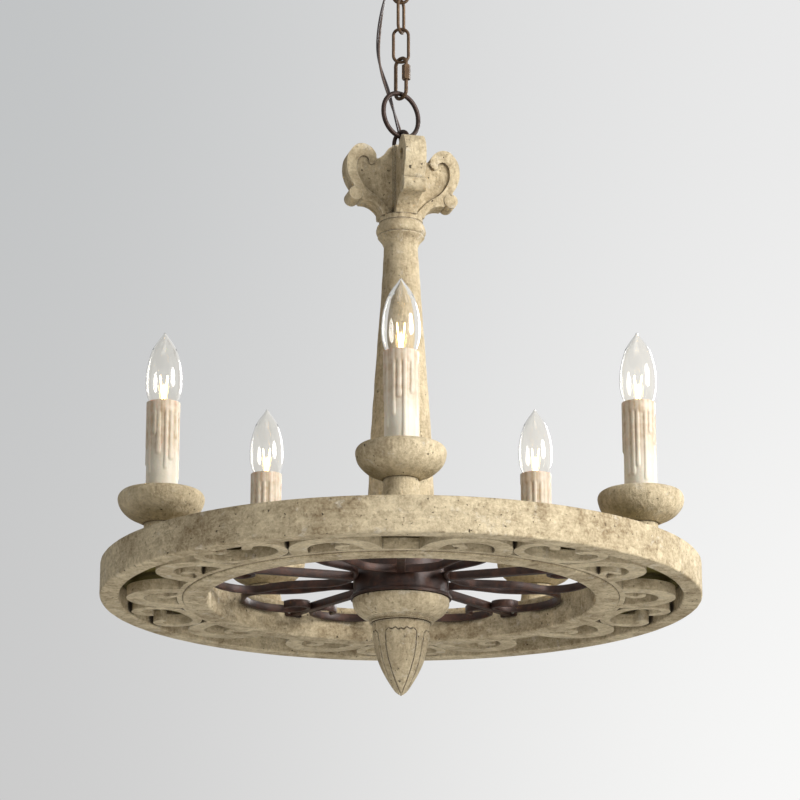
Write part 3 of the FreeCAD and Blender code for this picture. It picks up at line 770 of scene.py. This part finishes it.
def cord_line():
    """Points along the route's smooth line."""
    curve = bpy.data.curves.new("Cord line", "CURVE")
    curve.dimensions = "3D"
    spline = curve.splines.new("NURBS")
    spline.points.add(len(CORD_ROUTE) - 1)
    for point, (x, y, z) in zip(spline.points, CORD_ROUTE):
        point.co = (x * MM, y * MM, up(z), 1)
    spline.order_u = 3
    spline.use_endpoint_u = True
    spline.resolution_u = 10
    guide = bpy.data.objects.new("Cord line", curve)
    bpy.context.scene.collection.objects.link(guide)
    graph = bpy.context.evaluated_depsgraph_get()
    line = bpy.data.meshes.new_from_object(guide.evaluated_get(graph), depsgraph=graph)
    points = [v.co.copy() for v in line.vertices]
    bpy.data.objects.remove(guide)
    return points


def tube(points, radius, sides=12):
    """Points and faces of a closed-ended round tube along a line."""
    verts, rings = [], []
    side = Vector((1, 0, 0))
    for k, point in enumerate(points):
        ahead = points[min(k + 1, len(points) - 1)] - points[max(k - 1, 0)]
        ahead.normalize()
        side = (side - ahead * side.dot(ahead)).normalized()
        other = ahead.cross(side)
        rings.append(range(len(verts), len(verts) + sides))
        for s in range(sides):
            a = 2 * math.pi * s / sides
            verts.append(point + side * (radius * math.cos(a)) + other * (radius * math.sin(a)))
    return verts, skin(rings) + ends(rings)


class CHANDELIER_OT_cord(bpy.types.Operator):
    """Twin lamp cord: a dark and a clear strand side by side, turning slowly."""
    bl_idname = "chandelier.cord"
    bl_label = "Lamp cord"

    def execute(self, context):
        sizes = context.scene.chandelier_sizes
        line = cord_line()
        strand = sizes.strand / 2
        strands = []
        for which in (0, 1):
            path = []
            for k, point in enumerate(line):
                ahead = (line[min(k + 1, len(line) - 1)] - line[max(k - 1, 0)]).normalized()
                across = Vector((0, 1, 0)).cross(ahead).normalized()
                other = ahead.cross(across)
                a = math.pi * which + 2 * math.pi * CORD_TURNS * k / len(line)
                off = across * math.cos(a) + other * math.sin(a)
                path.append(point + off * strand * 0.78)
            strands.append(tube(path, strand))
        cord = piece("lamp_cord_twin", *joined(strands), "dark cord")
        cord.data.materials.append(material("clear cord"))
        marks = [which for which, (_, faces) in enumerate(strands) for _ in faces]
        for polygon, mark in zip(cord.data.polygons, marks):
            polygon.material_index = mark
        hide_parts("lamp_cord")
        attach(cord, "ceiling")
        return {"FINISHED"}


# ---- stage ----
SENSOR = 36.0                                        # millimetres
PICTURE, FOCUS = 800, 2970                           # pixels
EYE = Vector((0, -2905.2 * MM, up(-633.9)))
AIM = Vector((-1.0 * MM, 0, up(210.9)))
FLOOR_HALF, FLOOR_Z = 14.0, up(-1700)
# Name, place, size in metres and watts.
STAGE_LAMPS = [("Window right", (2.5, -1.5, 0.25), 1.6, 112),
               ("Fill left", (-2.6, -2.2, -0.5), 2.0, 8),
               ("Floor bounce", (0.4, -1.2, -2.3), 2.2, 22),
               ("Back right", (1.6, 2.2, 0.3), 1.2, 26)]


class CHANDELIER_OT_stage(bpy.types.Operator):
    """Camera, lamps, pale background and floor."""
    bl_idname = "chandelier.stage"
    bl_label = "Stage"

    def execute(self, context):
        scene = context.scene
        camera = bpy.data.cameras.new("Camera")
        camera.sensor_width = SENSOR
        camera.lens = SENSOR * FOCUS / PICTURE
        camera.clip_end = 30
        eye = bpy.data.objects.new("Camera", camera)
        eye.location = EYE
        eye.rotation_euler = (AIM - EYE).to_track_quat("-Z", "Y").to_euler()
        scene.collection.objects.link(eye)
        scene.camera = eye
        for name, at, size, power in STAGE_LAMPS:
            self.lamp(scene, name, at, size, power)
        self.world(scene)
        self.floor(scene)
        scene.view_settings.view_transform = "Standard"
        return {"FINISHED"}

    def floor(self, scene):
        """Pale floor, see-through from below."""
        floor = bpy.data.meshes.new("Floor")
        s, z = FLOOR_HALF, FLOOR_Z
        floor.from_pydata([(-s, -s, z), (s, -s, z), (s, s, z), (-s, s, z)], [], [(0, 1, 2, 3)])
        ground = bpy.data.objects.new("Floor", floor)
        scene.collection.objects.link(ground)
        pale, tree, surface = blank_material("Pale floor", {"Base Color": (0.62, 0.62, 0.61),
                                                            "Roughness": 0.8})
        side = add(tree, "ShaderNodeNewGeometry")
        clear = add(tree, "ShaderNodeBsdfTransparent", {"Color": (1.0, 1.0, 1.0)})
        blend_shaders(tree, side.outputs["Backfacing"], surface.outputs[0], clear.outputs[0],
                      tree.nodes["Material Output"])
        floor.materials.append(pale)

    def lamp(self, scene, name, at, size, power):
        data = bpy.data.lights.new(name, "AREA")
        data.shape = "DISK"
        data.size = size
        data.energy = power
        made = bpy.data.objects.new(name, data)
        made.location = at
        target = Vector((0, 0, up(150)))
        made.rotation_euler = (target - Vector(at)).to_track_quat("-Z", "Y").to_euler()
        scene.collection.objects.link(made)

    def world(self, scene):
        """Soft room light; what the camera sees is a pale wall, a little darker
        towards the floor."""
        world = bpy.data.worlds.new("Room")
        scene.world = world
        world.use_nodes = True
        tree = world.node_tree
        tree.nodes.clear()
        out = add(tree, "ShaderNodeOutputWorld")
        room = add(tree, "ShaderNodeBackground", {"Color": (0.96, 0.96, 0.95), "Strength": 0.28})
        coords = add(tree, "ShaderNodeTexCoord")
        parts = add(tree, "ShaderNodeSeparateXYZ", {"Vector": coords.outputs["Generated"]})
        # Painted light on the wall: lighter on the right, darker on the left, and graded with
        # height, as the room's light falls on it.
        climb = ramp(tree, parts.outputs["Z"], 0.12, 0.42)
        across = ramp(tree, parts.outputs["X"], -0.17, 0.17)
        low = blend_colours(tree, across, paint(202, 202, 202), paint(250, 250, 249))
        high = blend_colours(tree, across, paint(192, 194, 195), paint(234, 234, 234))
        wall = blend_colours(tree, climb, low, high)
        seen = add(tree, "ShaderNodeBackground", {"Color": wall, "Strength": 1.0})
        path = add(tree, "ShaderNodeLightPath")
        direct = sum_of(tree, path.outputs["Is Camera Ray"], path.outputs["Is Glossy Ray"],
                        "MAXIMUM")
        direct = sum_of(tree, direct, path.outputs["Is Transmission Ray"], "MAXIMUM")
        blend_shaders(tree, direct, room.outputs[0], seen.outputs[0], out)


# ---- wheel ----
def rounded_box(left, right, low, high, edge, steps):
    """Rectangle with round corners, from (left or inner, low) to (right or outer, high)."""
    points = []
    for x, z, first in ((right - edge, low + edge, -90), (right - edge, high - edge, 0),
                        (left + edge, high - edge, 90), (left + edge, low + edge, 180)):
        for step in range(steps + 1):
            a = math.radians(first + 90 * step / steps)
            points.append((x + edge * math.cos(a), z + edge * math.sin(a)))
    return points


WHEEL_TOP, WHEEL_EDGE = 35, 2.2
# Name, node, inner and outer radius, segments and unevenness.
WHEEL_RINGS = [("rim_dressed", "outer_rim", 281, 300, 360, 0.35),
               ("inner_ring_dressed", "inner_ring", 194, 218, 300, 0.3)]


class CHANDELIER_OT_wheel(bpy.types.Operator):
    """Outer rim, inner ring and the board between them."""
    bl_idname = "chandelier.wheel"
    bl_label = "Wheel"

    def execute(self, context):
        for name, node, inner, outer, segments, depth in WHEEL_RINGS:
            turned(name, rounded_box(inner, outer, 0, WHEEL_TOP, WHEEL_EDGE, 4), "rim wood",
                   "wood", node, segments=segments, shift=uneven(depth, 18))
        coat("backing_board", "board")
        return {"FINISHED"}


def uneven(depth, waves):
    """Slight waviness of hand-cut wood, in millimetres."""
    def shift(angle, radius, height):
        spot = Vector((math.cos(angle) * radius / waves, math.sin(angle) * radius / waves,
                       height / waves))
        return depth * (noise.noise(spot) - 0.5)
    return shift


class CHANDELIER_OT_fretwork(bpy.types.Operator):
    """Carved fretwork below the board, with rounded edges."""
    bl_idname = "chandelier.fretwork"
    bl_label = "Fretwork"

    def execute(self, context):
        fret = solid_copy("fretwork", "fretwork_carved", "fret wood")
        soften(fret, context.scene.chandelier_sizes.edge * 1.3, 50)
        place(fret, CHANDELIER, "wood", "fretwork")
        return {"FINISHED"}


# ---- ironwork ----
# Half of the scroll's centre line beside a spoke: distance out along the spoke and
# distance to its side, millimetres.
SCROLL = [(165, 29), (155, 27), (149, 18), (151, 9), (160, 6.0), (173, 9), (183, 20), (186, 40),
          (181, 60), (170, 76), (155, 87), (139, 91), (124.6, 87.0), (112, 70.3), (97.7, 56.1),
          (80, 46.4), (64, 37.8), (55.5, 27), (51.3, 13), (50.0, 0)]
IRON_LOW, IRON_HIGH = 19.5, 27.5
IRON_MIDDLE = (IRON_LOW + IRON_HIGH) / 2
STRAP, BAR, FOOT = 4.0, 8.0, 19.0
FOOT_FACE = 190.9
# Half outline of a screw: radius and distance in from the foot's face, and the screws' places.
SCREW = [(0, 2.0), (1.1, 1.8), (1.9, 1.2), (2.35, 0.3), (2.35, -0.2), (1.6, -0.3),
         (1.6, -14.0), (0, -15.0)]
SCREW_SIDES, SCREWS_ASIDE = 16, (-6.6, 6.6)


def flat_strip(points, width, low, high, edge=1.1):
    """Strip of constant width with eased edges along a flat line of points."""
    section = rounded_box(-width / 2, width / 2, low, high, edge, 2)
    verts, rings = [], []
    for k, (x, y) in enumerate(points):
        xa, ya = points[max(k - 1, 0)]
        xb, yb = points[min(k + 1, len(points) - 1)]
        run = math.hypot(xb - xa, yb - ya)
        nx, ny = -(yb - ya) / run, (xb - xa) / run
        rings.append(range(len(verts), len(verts) + len(section)))
        for across, height in section:
            verts.append(((x + nx * across) * MM, (y + ny * across) * MM, up(height)))
    return verts, skin(rings) + ends(rings)


class CHANDELIER_OT_spokes(bpy.types.Operator):
    """Five spoke bars, each with a lyre scroll and a foot plate, and their screws."""
    bl_idname = "chandelier.spokes"
    bl_label = "Spokes"

    def execute(self, context):
        half = smooth_run(SCROLL, 8)
        path = half + [(p, -q) for p, q in reversed(half[:-1])]
        strap = flat_strip(path, STRAP, IRON_LOW, IRON_HIGH)
        bar = flat_strip([(52, 0), (100, 0), (150, 0), (191, 0)], BAR, IRON_LOW, IRON_HIGH, 0.9)
        foot = flat_strip([(191, 0), (192.5, 0), (193.8, 0)], FOOT, 19.0, 28.0, 0.8)
        verts, faces = joined([strap, bar, foot])
        iron = piece("spoke_scrolls", turned_to(verts, FIRST_LIGHT), faces, "iron")
        round_the_hub(iron, "iron")
        place(iron, CHANDELIER, "iron", *at_each_light("lyre_spoke_%d"))
        self.screws()
        return {"FINISHED"}

    def screws(self):
        """Domed screw heads, two on each foot plate."""
        verts, faces = [], []
        for q in SCREWS_ASIDE:
            rings = []
            for r, height in SCREW:
                rings.append(range(len(verts), len(verts) + (SCREW_SIDES if r else 1)))
                for s in range(len(rings[-1])):
                    a = 2 * math.pi * s / SCREW_SIDES
                    verts.append(((FOOT_FACE - height) * MM, (q + r * math.cos(a)) * MM,
                                  up(IRON_MIDDLE + r * math.sin(a))))
            faces += skin(rings)
        heads = piece("foot_screws", turned_to(verts, FIRST_LIGHT), faces, "plated")
        round_the_hub(heads, "plated")
        place(heads, CHANDELIER, "plated_steel", "spoke_screws")


# ---- hub and column ----
ROD_HOLE = 5.25


class CHANDELIER_OT_column(bpy.types.Operator):
    """Turned column with its neck ring, the iron drum and the cup below it."""
    bl_idname = "chandelier.column"
    bl_label = "Column and hub"

    def execute(self, context):
        column = outline([
            ("line", [(ROD_HOLE, 42), (34.4, 42), (35, 42.8)]),
            ("curve", [(33.3, 114), (30.8, 175), (25, 262), (18.9, 350), (18, 375)]),
            ("curve", [(20.3, 380), (24.6, 385.2)]),
            ("line", [(24.2, 386.4), (23.6, 386.6)]),
            ("curve", [(25.6, 389), (26, 392), (24.6, 397), (22.2, 400)]),
            ("line", [(22.2, 400.6), (22.9, 401.2), (22.5, 406), (ROD_HOLE, 406)])], 14)
        turned("column_dressed", column, "turned wood", "wood", "column",
               shift=uneven(0.5, 14))
        drum = outline([
            ("line", [(ROD_HOLE, 42), (43.5, 42)]), ("curve", [(46.8, 41.0), (47.9, 38.2)]),
            ("line", [(47.9, 12)]), ("curve", [(48.6, 8), (50.5, 5.4)]),
            ("line", [(50.5, 3.0), (44.9, 3.0), (43.9, 39), (ROD_HOLE, 39)])])
        turned("drum_dressed", drum, "iron", "iron", "hub_drum")
        cup = outline([
            ("line", [(ROD_HOLE, 3), (47.8, 3), (48.6, 2.2)]),
            ("curve", [(48, -4), (44, -10.7), (38, -15.5)]),
            ("line", [(34.2, -16.2), (33.5, -16.6), (33.4, -17.3)]),
            ("curve", [(31.6, -18.2), (31.2, -19.6), (32.2, -21)]),
            ("line", [(ROD_HOLE, -21)])])
        turned("cup_dressed", cup, "turned wood", "wood", "hub_cup", shift=uneven(0.3, 12))
        coat("hub_nut", "plated")
        coat("centre_rod", "plated")
        return {"FINISHED"}


# Half width of a finial leaf by height, and the scalloped height of its top by
# distance from its middle, millimetres.
LEAF_SIDE = [(-24, 17.5), (-34, 17.8), (-46, 17.2), (-58, 15.2), (-70, 11.4), (-82, 6.6),
             (-94, 0.6)]
LEAF_TOP = [(0, -30.2), (2.5, -31.5), (6, -29), (9.5, -31), (13, -29.2), (17.5, -33)]
LEAF_COUNT = 4


def between(table, at):
    """Straight-line reading of a table of pairs."""
    pairs = sorted(table)
    if at <= pairs[0][0]:
        return pairs[0][1]
    for (a, u), (b, v) in zip(pairs, pairs[1:]):
        if at <= b:
            return u + (v - u) * (at - a) / (b - a)
    return pairs[-1][1]


def rise(value, low, high):
    t = min(max((value - low) / (high - low), 0), 1)
    return t * t * (3 - 2 * t)


def leaf_carving(groove):
    """Four pointed leaves standing off the finial, each with a groove inside its edge."""
    def shift(angle, radius, height):
        if height > -22.5:
            return 0
        best = -99
        for k in range(LEAF_COUNT):
            turn = (angle - FIRST_LIGHT - 2 * math.pi * k / LEAF_COUNT + math.pi) % (2 * math.pi)
            across = abs(turn - math.pi) * radius
            best = max(best, min(between(LEAF_SIDE, height) - across,
                                 between(LEAF_TOP, across) - height))
        raised = rise(best, -0.6, 0.9)
        line = rise(best, 0.0, 0.8) * (1 - rise(best, 1.3, 2.1))
        return (raised - 1) * groove * 0.5 - line * groove
    return shift


class CHANDELIER_OT_finial(bpy.types.Operator):
    """Pointed finial with four grooved leaves."""
    bl_idname = "chandelier.finial"
    bl_label = "Finial"

    def execute(self, context):
        groove = context.scene.chandelier_sizes.groove / MM
        body = smooth_run([(29.3, -22), (29.2, -26), (28.3, -34.5), (26.2, -46), (22.6, -60),
                           (16.7, -73), (9.5, -85), (4.7, -91.5), (0.7, -94.1)], 16)
        points = [(0, -21.05), (28.6, -21.05)] + body + [(0, -94.3)]
        made = lathe("finial_carved", points, "carved wood", segments=288,
                     shift=leaf_carving(groove))
        place(made, CHANDELIER, "wood", "finial")
        return {"FINISHED"}


class CHANDELIER_OT_capital(bpy.types.Operator):
    """Capital of four scrolled fins, with softened edges."""
    bl_idname = "chandelier.capital"
    bl_label = "Capital"

    def execute(self, context):
        made = solid_copy("capital", "capital_carved", "carved wood")
        soften(made, context.scene.chandelier_sizes.edge, 40)
        place(made, CHANDELIER, "wood", "capital")
        return {"FINISHED"}


# ---- lights ----
class CHANDELIER_OT_cups(bpy.types.Operator):
    """Turned feet and dishes under the candles."""
    bl_idname = "chandelier.cups"
    bl_label = "Candle cups"

    def execute(self, context):
        foot = outline([
            ("line", [(ROD_HOLE, 35), (21.6, 35), (22, 35.5), (22, 37)]),
            ("curve", [(19.2, 43), (17.2, 51), (16.5, 61.4)]),
            ("line", [(16.5, 62), (ROD_HOLE, 62)])])
        dish = outline([
            ("line", [(ROD_HOLE, 62.05), (18.3, 62.05)]),
            ("curve", [(24, 64.9), (32.5, 69.3), (39.7, 76.7), (42.75, 86), (41.0, 91.9),
                       (36.8, 94.4), (33.6, 92.2), (30, 88.9), (24, 87)]),
            ("line", [(ROD_HOLE, 87)])], 8)
        for points, name, node in ((foot, "candle_feet", "candle_neck_%d"),
                                   (dish, "candle_dishes", "candle_bowl_%d")):
            made = lathe(name, points, "turned wood", LIGHTS[0], 80, True, uneven(0.35, 11))
            round_the_hub(made, "turned wood")
            place(made, CHANDELIER, "wood", *at_each_light(node))
        coat("candle_nipples", "plated")
        return {"FINISHED"}


SLEEVE_R, SLEEVE_FOOT, SLEEVE_TOP = 15.7, 87, 185.0
SLEEVE_SIDES = 180


class CHANDELIER_OT_sleeves(bpy.types.Operator):
    """Candle sleeves with a collar and runs of wax."""
    bl_idname = "chandelier.sleeves"
    bl_label = "Candle sleeves"

    def execute(self, context):
        count = context.scene.chandelier_lamps.drips
        for number, spot in enumerate(LIGHTS, 1):
            self.sleeve(number, spot, count)
        return {"FINISHED"}

    def sleeve(self, number, spot, count):
        """One sleeve: outer wall displaced by its drips, rolled rim, plain bore."""
        seed = random.Random(40 + number)
        runs = []
        for k in range(count):
            angle = 2 * math.pi * (k + seed.uniform(-0.22, 0.22)) / count
            foot = seed.uniform(108, 156) if k % 3 else seed.uniform(96, 120)
            runs.append((angle, foot, seed.uniform(1.8, 2.7), seed.uniform(0.8, 1.4)))
        rows = [(None, SLEEVE_FOOT + 1.4 * k) for k in range(70)] + [(None, SLEEVE_TOP)]
        rows += [(15.4, SLEEVE_TOP), (14.6, SLEEVE_TOP), (14.5, 183.5), (14.5, SLEEVE_FOOT)]
        verts, stain, rings = [], [], []
        for bore, height in rows:
            rings.append(range(len(verts), len(verts) + SLEEVE_SIDES))
            for s in range(SLEEVE_SIDES):
                angle = 2 * math.pi * s / SLEEVE_SIDES
                if bore is None:
                    grow_out, mark = wax_at(angle, height, runs)
                    r = (SLEEVE_R + grow_out) * MM
                else:
                    r, mark = bore * MM, 0.55 if height > 150 else 0.2
                verts.append(around(spot, r, angle, height))
                stain.append(mark)
        faces = skin(rings + rings[:1])
        made = piece("candle_wax_%d" % number, verts, faces, "wax", 60)
        mark = made.data.attributes.new("stain", "FLOAT", "POINT")
        mark.data.foreach_set("value", stain[:len(made.data.vertices)])
        place(made, CHANDELIER, "wax", "candle_sleeve_%d" % number)


def wax_at(angle, height, runs):
    """Thickness of wax on the sleeve at a point, and how stained it is there."""
    thick, beside = 0.0, 0.0
    for centre, foot, half, depth in runs:
        off = abs((angle - centre + math.pi) % (2 * math.pi) - math.pi) * 16
        wide = half * (1 + 0.22 * math.exp(-((height - foot - 2.5) / 4.0) ** 2))
        below = max(foot - height, 0)
        away = math.hypot(off, below)
        if away < wide:
            thick = max(thick, depth * math.sqrt(1 - (away / wide) ** 2))
        if height > foot - 3:
            beside = max(beside, 1 - rise(away, wide, wide + 2.2))
    collar = rise(height, 170, 176) * 1.1
    low = rise(height, 112, 150)
    mark = 0.42 * (1 - 0.7 * min(thick, 1.0)) + 0.2 * beside
    return max(thick, collar), min(1.0, 0.06 + low * mark)


GLASS_OUTSIDE = [(8.4, 176.6), (13.9, 185.5), (17.6, 197), (18.45, 209), (17.2, 223),
                 (13.2, 238), (8.6, 246.8), (4.2, 253), (1.0, 258.0)]
GLASS_WALL = 0.65
FILAMENTS = 4


class CHANDELIER_OT_lamps(bpy.types.Operator):
    """Clear candle lamps with stem, lit filaments and threaded cap, and their holders."""
    bl_idname = "chandelier.lamps"
    bl_label = "Lamps"

    def execute(self, context):
        for number, spot in enumerate(LIGHTS, 1):
            self.lamp(number, spot)
        coat("sockets", "phenolic")
        return {"FINISHED"}

    def lamp(self, number, spot):
        body = "bulb_%d" % number
        outside = smooth_run(GLASS_OUTSIDE, 10)
        inside = [(max(r - GLASS_WALL, 0.2), h + (0.5 if h < 180 else -0.25 if h > 240 else 0))
                  for r, h in reversed(outside)]
        glass = lathe("lamp_glass_%d" % number, [(7.1, 176.6)] + outside + [(0, 258.6)],
                      "glass", spot, 64)
        shell = lathe("lamp_inside_%d" % number, [(0, 257.4)] + inside + [(7.0, 177.2)],
                      "glass", spot, 64)
        self.merge(glass, shell)
        place(glass, body, "bulb_glass", "bulb_glass_%d" % number)
        self.cap(number, spot, body)

    def merge(self, glass, shell):
        """Outer and inner skins as one closed wall; the inner skin faces inwards."""
        work = bmesh.new()
        work.from_mesh(glass.data)
        work.from_mesh(shell.data)
        rims = [e for e in work.edges if e.is_boundary]
        bmesh.ops.bridge_loops(work, edges=rims)
        bmesh.ops.recalc_face_normals(work, faces=work.faces)
        work.to_mesh(glass.data)
        work.free()
        bpy.data.objects.remove(shell)
        smooth(glass, 60)

    def cap(self, number, spot, body):
        threads = [(0, 149.2), (3.2, 149.2), (4.4, 151.5), (5.6, 153.2)]
        for turn in range(6):
            base = 154.2 + 3 * turn
            threads += [(6.45, base), (6.95, base + 0.9), (6.95, base + 1.4), (6.45, base + 2.3)]
        threads += [(6.9, 172.5), (7.0, 176.4), (0, 176.4)]
        cap = lathe("lamp_cap_%d" % number, threads, "brass", spot, 48)
        stem = outline([("line", [(0, 176.45), (5.6, 176.45)]),
                        ("curve", [(3.6, 182), (2.1, 190), (1.5, 204)]), ("line", [(0, 206)])])
        tall = lathe("lamp_stem_%d" % number, stem, "stem", spot, 24)
        wires = []
        for k in range(FILAMENTS):
            a = math.radians(45 + 90 * k)
            low, high = (Vector(around(spot, r * MM, a, height))
                         for r, height in ((1.7, 188), (5.2, 213)))
            wires.append(tube([low.lerp(high, t / 6) for t in range(7)], 0.55 * MM, 8))
        lit = piece("lamp_filaments_%d" % number, *joined(wires), "filament")
        place(cap, body, "cap_metal", "bulb_cap_%d" % number)
        place(tall, body, "bulb_glass")
        place(lit, body, "cap_metal")


# ---- chain and canopy ----
# Name, body, node, half width, bottom, top, wire radius (mm) and turn (degrees).
LOOPS = [("link_1_wire", "link_1", "chain_link_1", 7.9, 649.2, 686.8, 1.7, 0),
         ("link_2_wire", "link_2", "chain_link_2", 7.9, 615.3, 652.9, 1.7, 68),
         ("link_3_wire", "link_3", "chain_link_3", 7.9, 581.4, 619.0, 1.7, 0),
         ("ring_wire", "ring", "hanging_ring", 24.0, 497.4, 545.4, 2.5, 41)]
LOOP_FLAT = 1.2


class CHANDELIER_OT_chain(bpy.types.Operator):
    """Chain links, hanging ring, quick link and the two fixed loops."""
    bl_idname = "chandelier.chain"
    bl_label = "Chain"

    def execute(self, context):
        for name, body, node, half, low, high, wire, turn in LOOPS:
            mesh = bpy.data.meshes.new(name)
            made = bpy.data.objects.new(name, mesh)
            context.scene.collection.objects.link(made)
            grow(made, "Wire loop", wire_tree, {
                "Half width": half * MM, "Bottom": up(low), "Top": up(high),
                "Corner": (half - LOOP_FLAT / 2) * MM, "Wire radius": wire * MM,
                "Turn": math.radians(turn)}, "dark bronze" if body == "ring" else "bronze")
            tidy(made, 60)
            place(made, body, "bronze", node)
        for node in ("canopy_loop", "body_loop", "quick_link", "quick_link_sleeve"):
            finish = "dark bronze" if node == "body_loop" else "bronze"
            made = solid_copy(node, node + "_dressed", finish, 40)
            body = {"canopy_loop": "ceiling", "body_loop": CHANDELIER, "quick_link": "quick",
                    "quick_link_sleeve": "quick_sleeve"}[node]
            place(made, body, "bronze", node)
        return {"FINISHED"}


CANOPY_FOOT, CANOPY_TOP = 716.0, 744.6


class CHANDELIER_OT_canopy(bpy.types.Operator):
    """Ceiling canopy, its collar nut, nipple and crossbar."""
    bl_idname = "chandelier.canopy"
    bl_label = "Canopy"

    def execute(self, context):
        z = CANOPY_FOOT
        shell = outline([
            ("line", [(5.3, z), (16, z)]),
            ("curve", [(26, z + 2.2), (40, z + 7.5), (52, z + 14.5), (58.5, z + 22)]),
            ("curve", [(60.6, z + 23.2), (62.5, z + 24.4)]),
            ("line", [(62.5, CANOPY_TOP), (61.4, CANOPY_TOP), (61.3, z + 25)]),
            ("curve", [(57.5, z + 23.1), (51.2, z + 15.6), (39.5, z + 8.7), (25.8, z + 3.4),
                       (16, z + 1.2)]),
            ("line", [(5.3, z + 1.2)])])
        turned("canopy_dressed", shell, "bronze", "bronze", "canopy", "ceiling", segments=128)

        def knurl(angle, radius, height):
            return 0.25 * math.cos(angle * 36) if radius > 9 else 0
        collar = [(5, 709.5), (7.5, 709.5), (9.3, 711.3), (9.3, 714.1), (8.3, z), (5, z)]
        turned("collar_knurled", collar, "bronze", "bronze", "collar_nut", "ceiling",
               segments=144, shift=knurl)
        for node in ("crossbar", "canopy_nipple", "nipple_nut"):
            coat(node, "plated")
        return {"FINISHED"}


# ---- panel, registration and build ----
STEPS = ("stage", "cord", "wheel", "fretwork", "spokes", "column", "finial", "capital", "cups",
         "sleeves", "lamps", "chain", "canopy")


class CHANDELIER_PT_panel(bpy.types.Panel):
    """Lists the chandelier's pieces and their settings."""
    bl_idname = "CHANDELIER_PT_panel"
    bl_label = "Chandelier"
    bl_space_type = "VIEW_3D"
    bl_region_type = "UI"
    bl_category = "Chandelier"

    def draw(self, context):
        for step in STEPS:
            self.layout.operator("chandelier." + step)
        for settings in SETTINGS:
            owner = getattr(context.scene, settings)
            for name in owner.__annotations__:
                self.layout.prop(owner, name)


SETTINGS = {"chandelier_wood": ChandelierWood, "chandelier_metal": ChandelierMetal,
            "chandelier_lamps": ChandelierLamps, "chandelier_sizes": ChandelierSizes}
OPERATORS = (CHANDELIER_OT_stage, CHANDELIER_OT_cord, CHANDELIER_OT_wheel,
             CHANDELIER_OT_fretwork, CHANDELIER_OT_spokes, CHANDELIER_OT_column,
             CHANDELIER_OT_finial, CHANDELIER_OT_capital, CHANDELIER_OT_cups,
             CHANDELIER_OT_sleeves, CHANDELIER_OT_lamps, CHANDELIER_OT_chain,
             CHANDELIER_OT_canopy)
CLASSES = tuple(SETTINGS.values()) + OPERATORS + (CHANDELIER_PT_panel,)


def register():
    for made in CLASSES:
        bpy.utils.register_class(made)
    for name, kind in SETTINGS.items():
        setattr(bpy.types.Scene, name, PointerProperty(type=kind))


def unregister():
    for name in SETTINGS:
        delattr(bpy.types.Scene, name)
    for made in reversed(CLASSES):
        bpy.utils.unregister_class(made)


def main():
    """Registers the add-on and builds every piece."""
    register()
    for step in STEPS:
        getattr(bpy.ops.chandelier, step)()


if __name__ == "__main__":
    main()
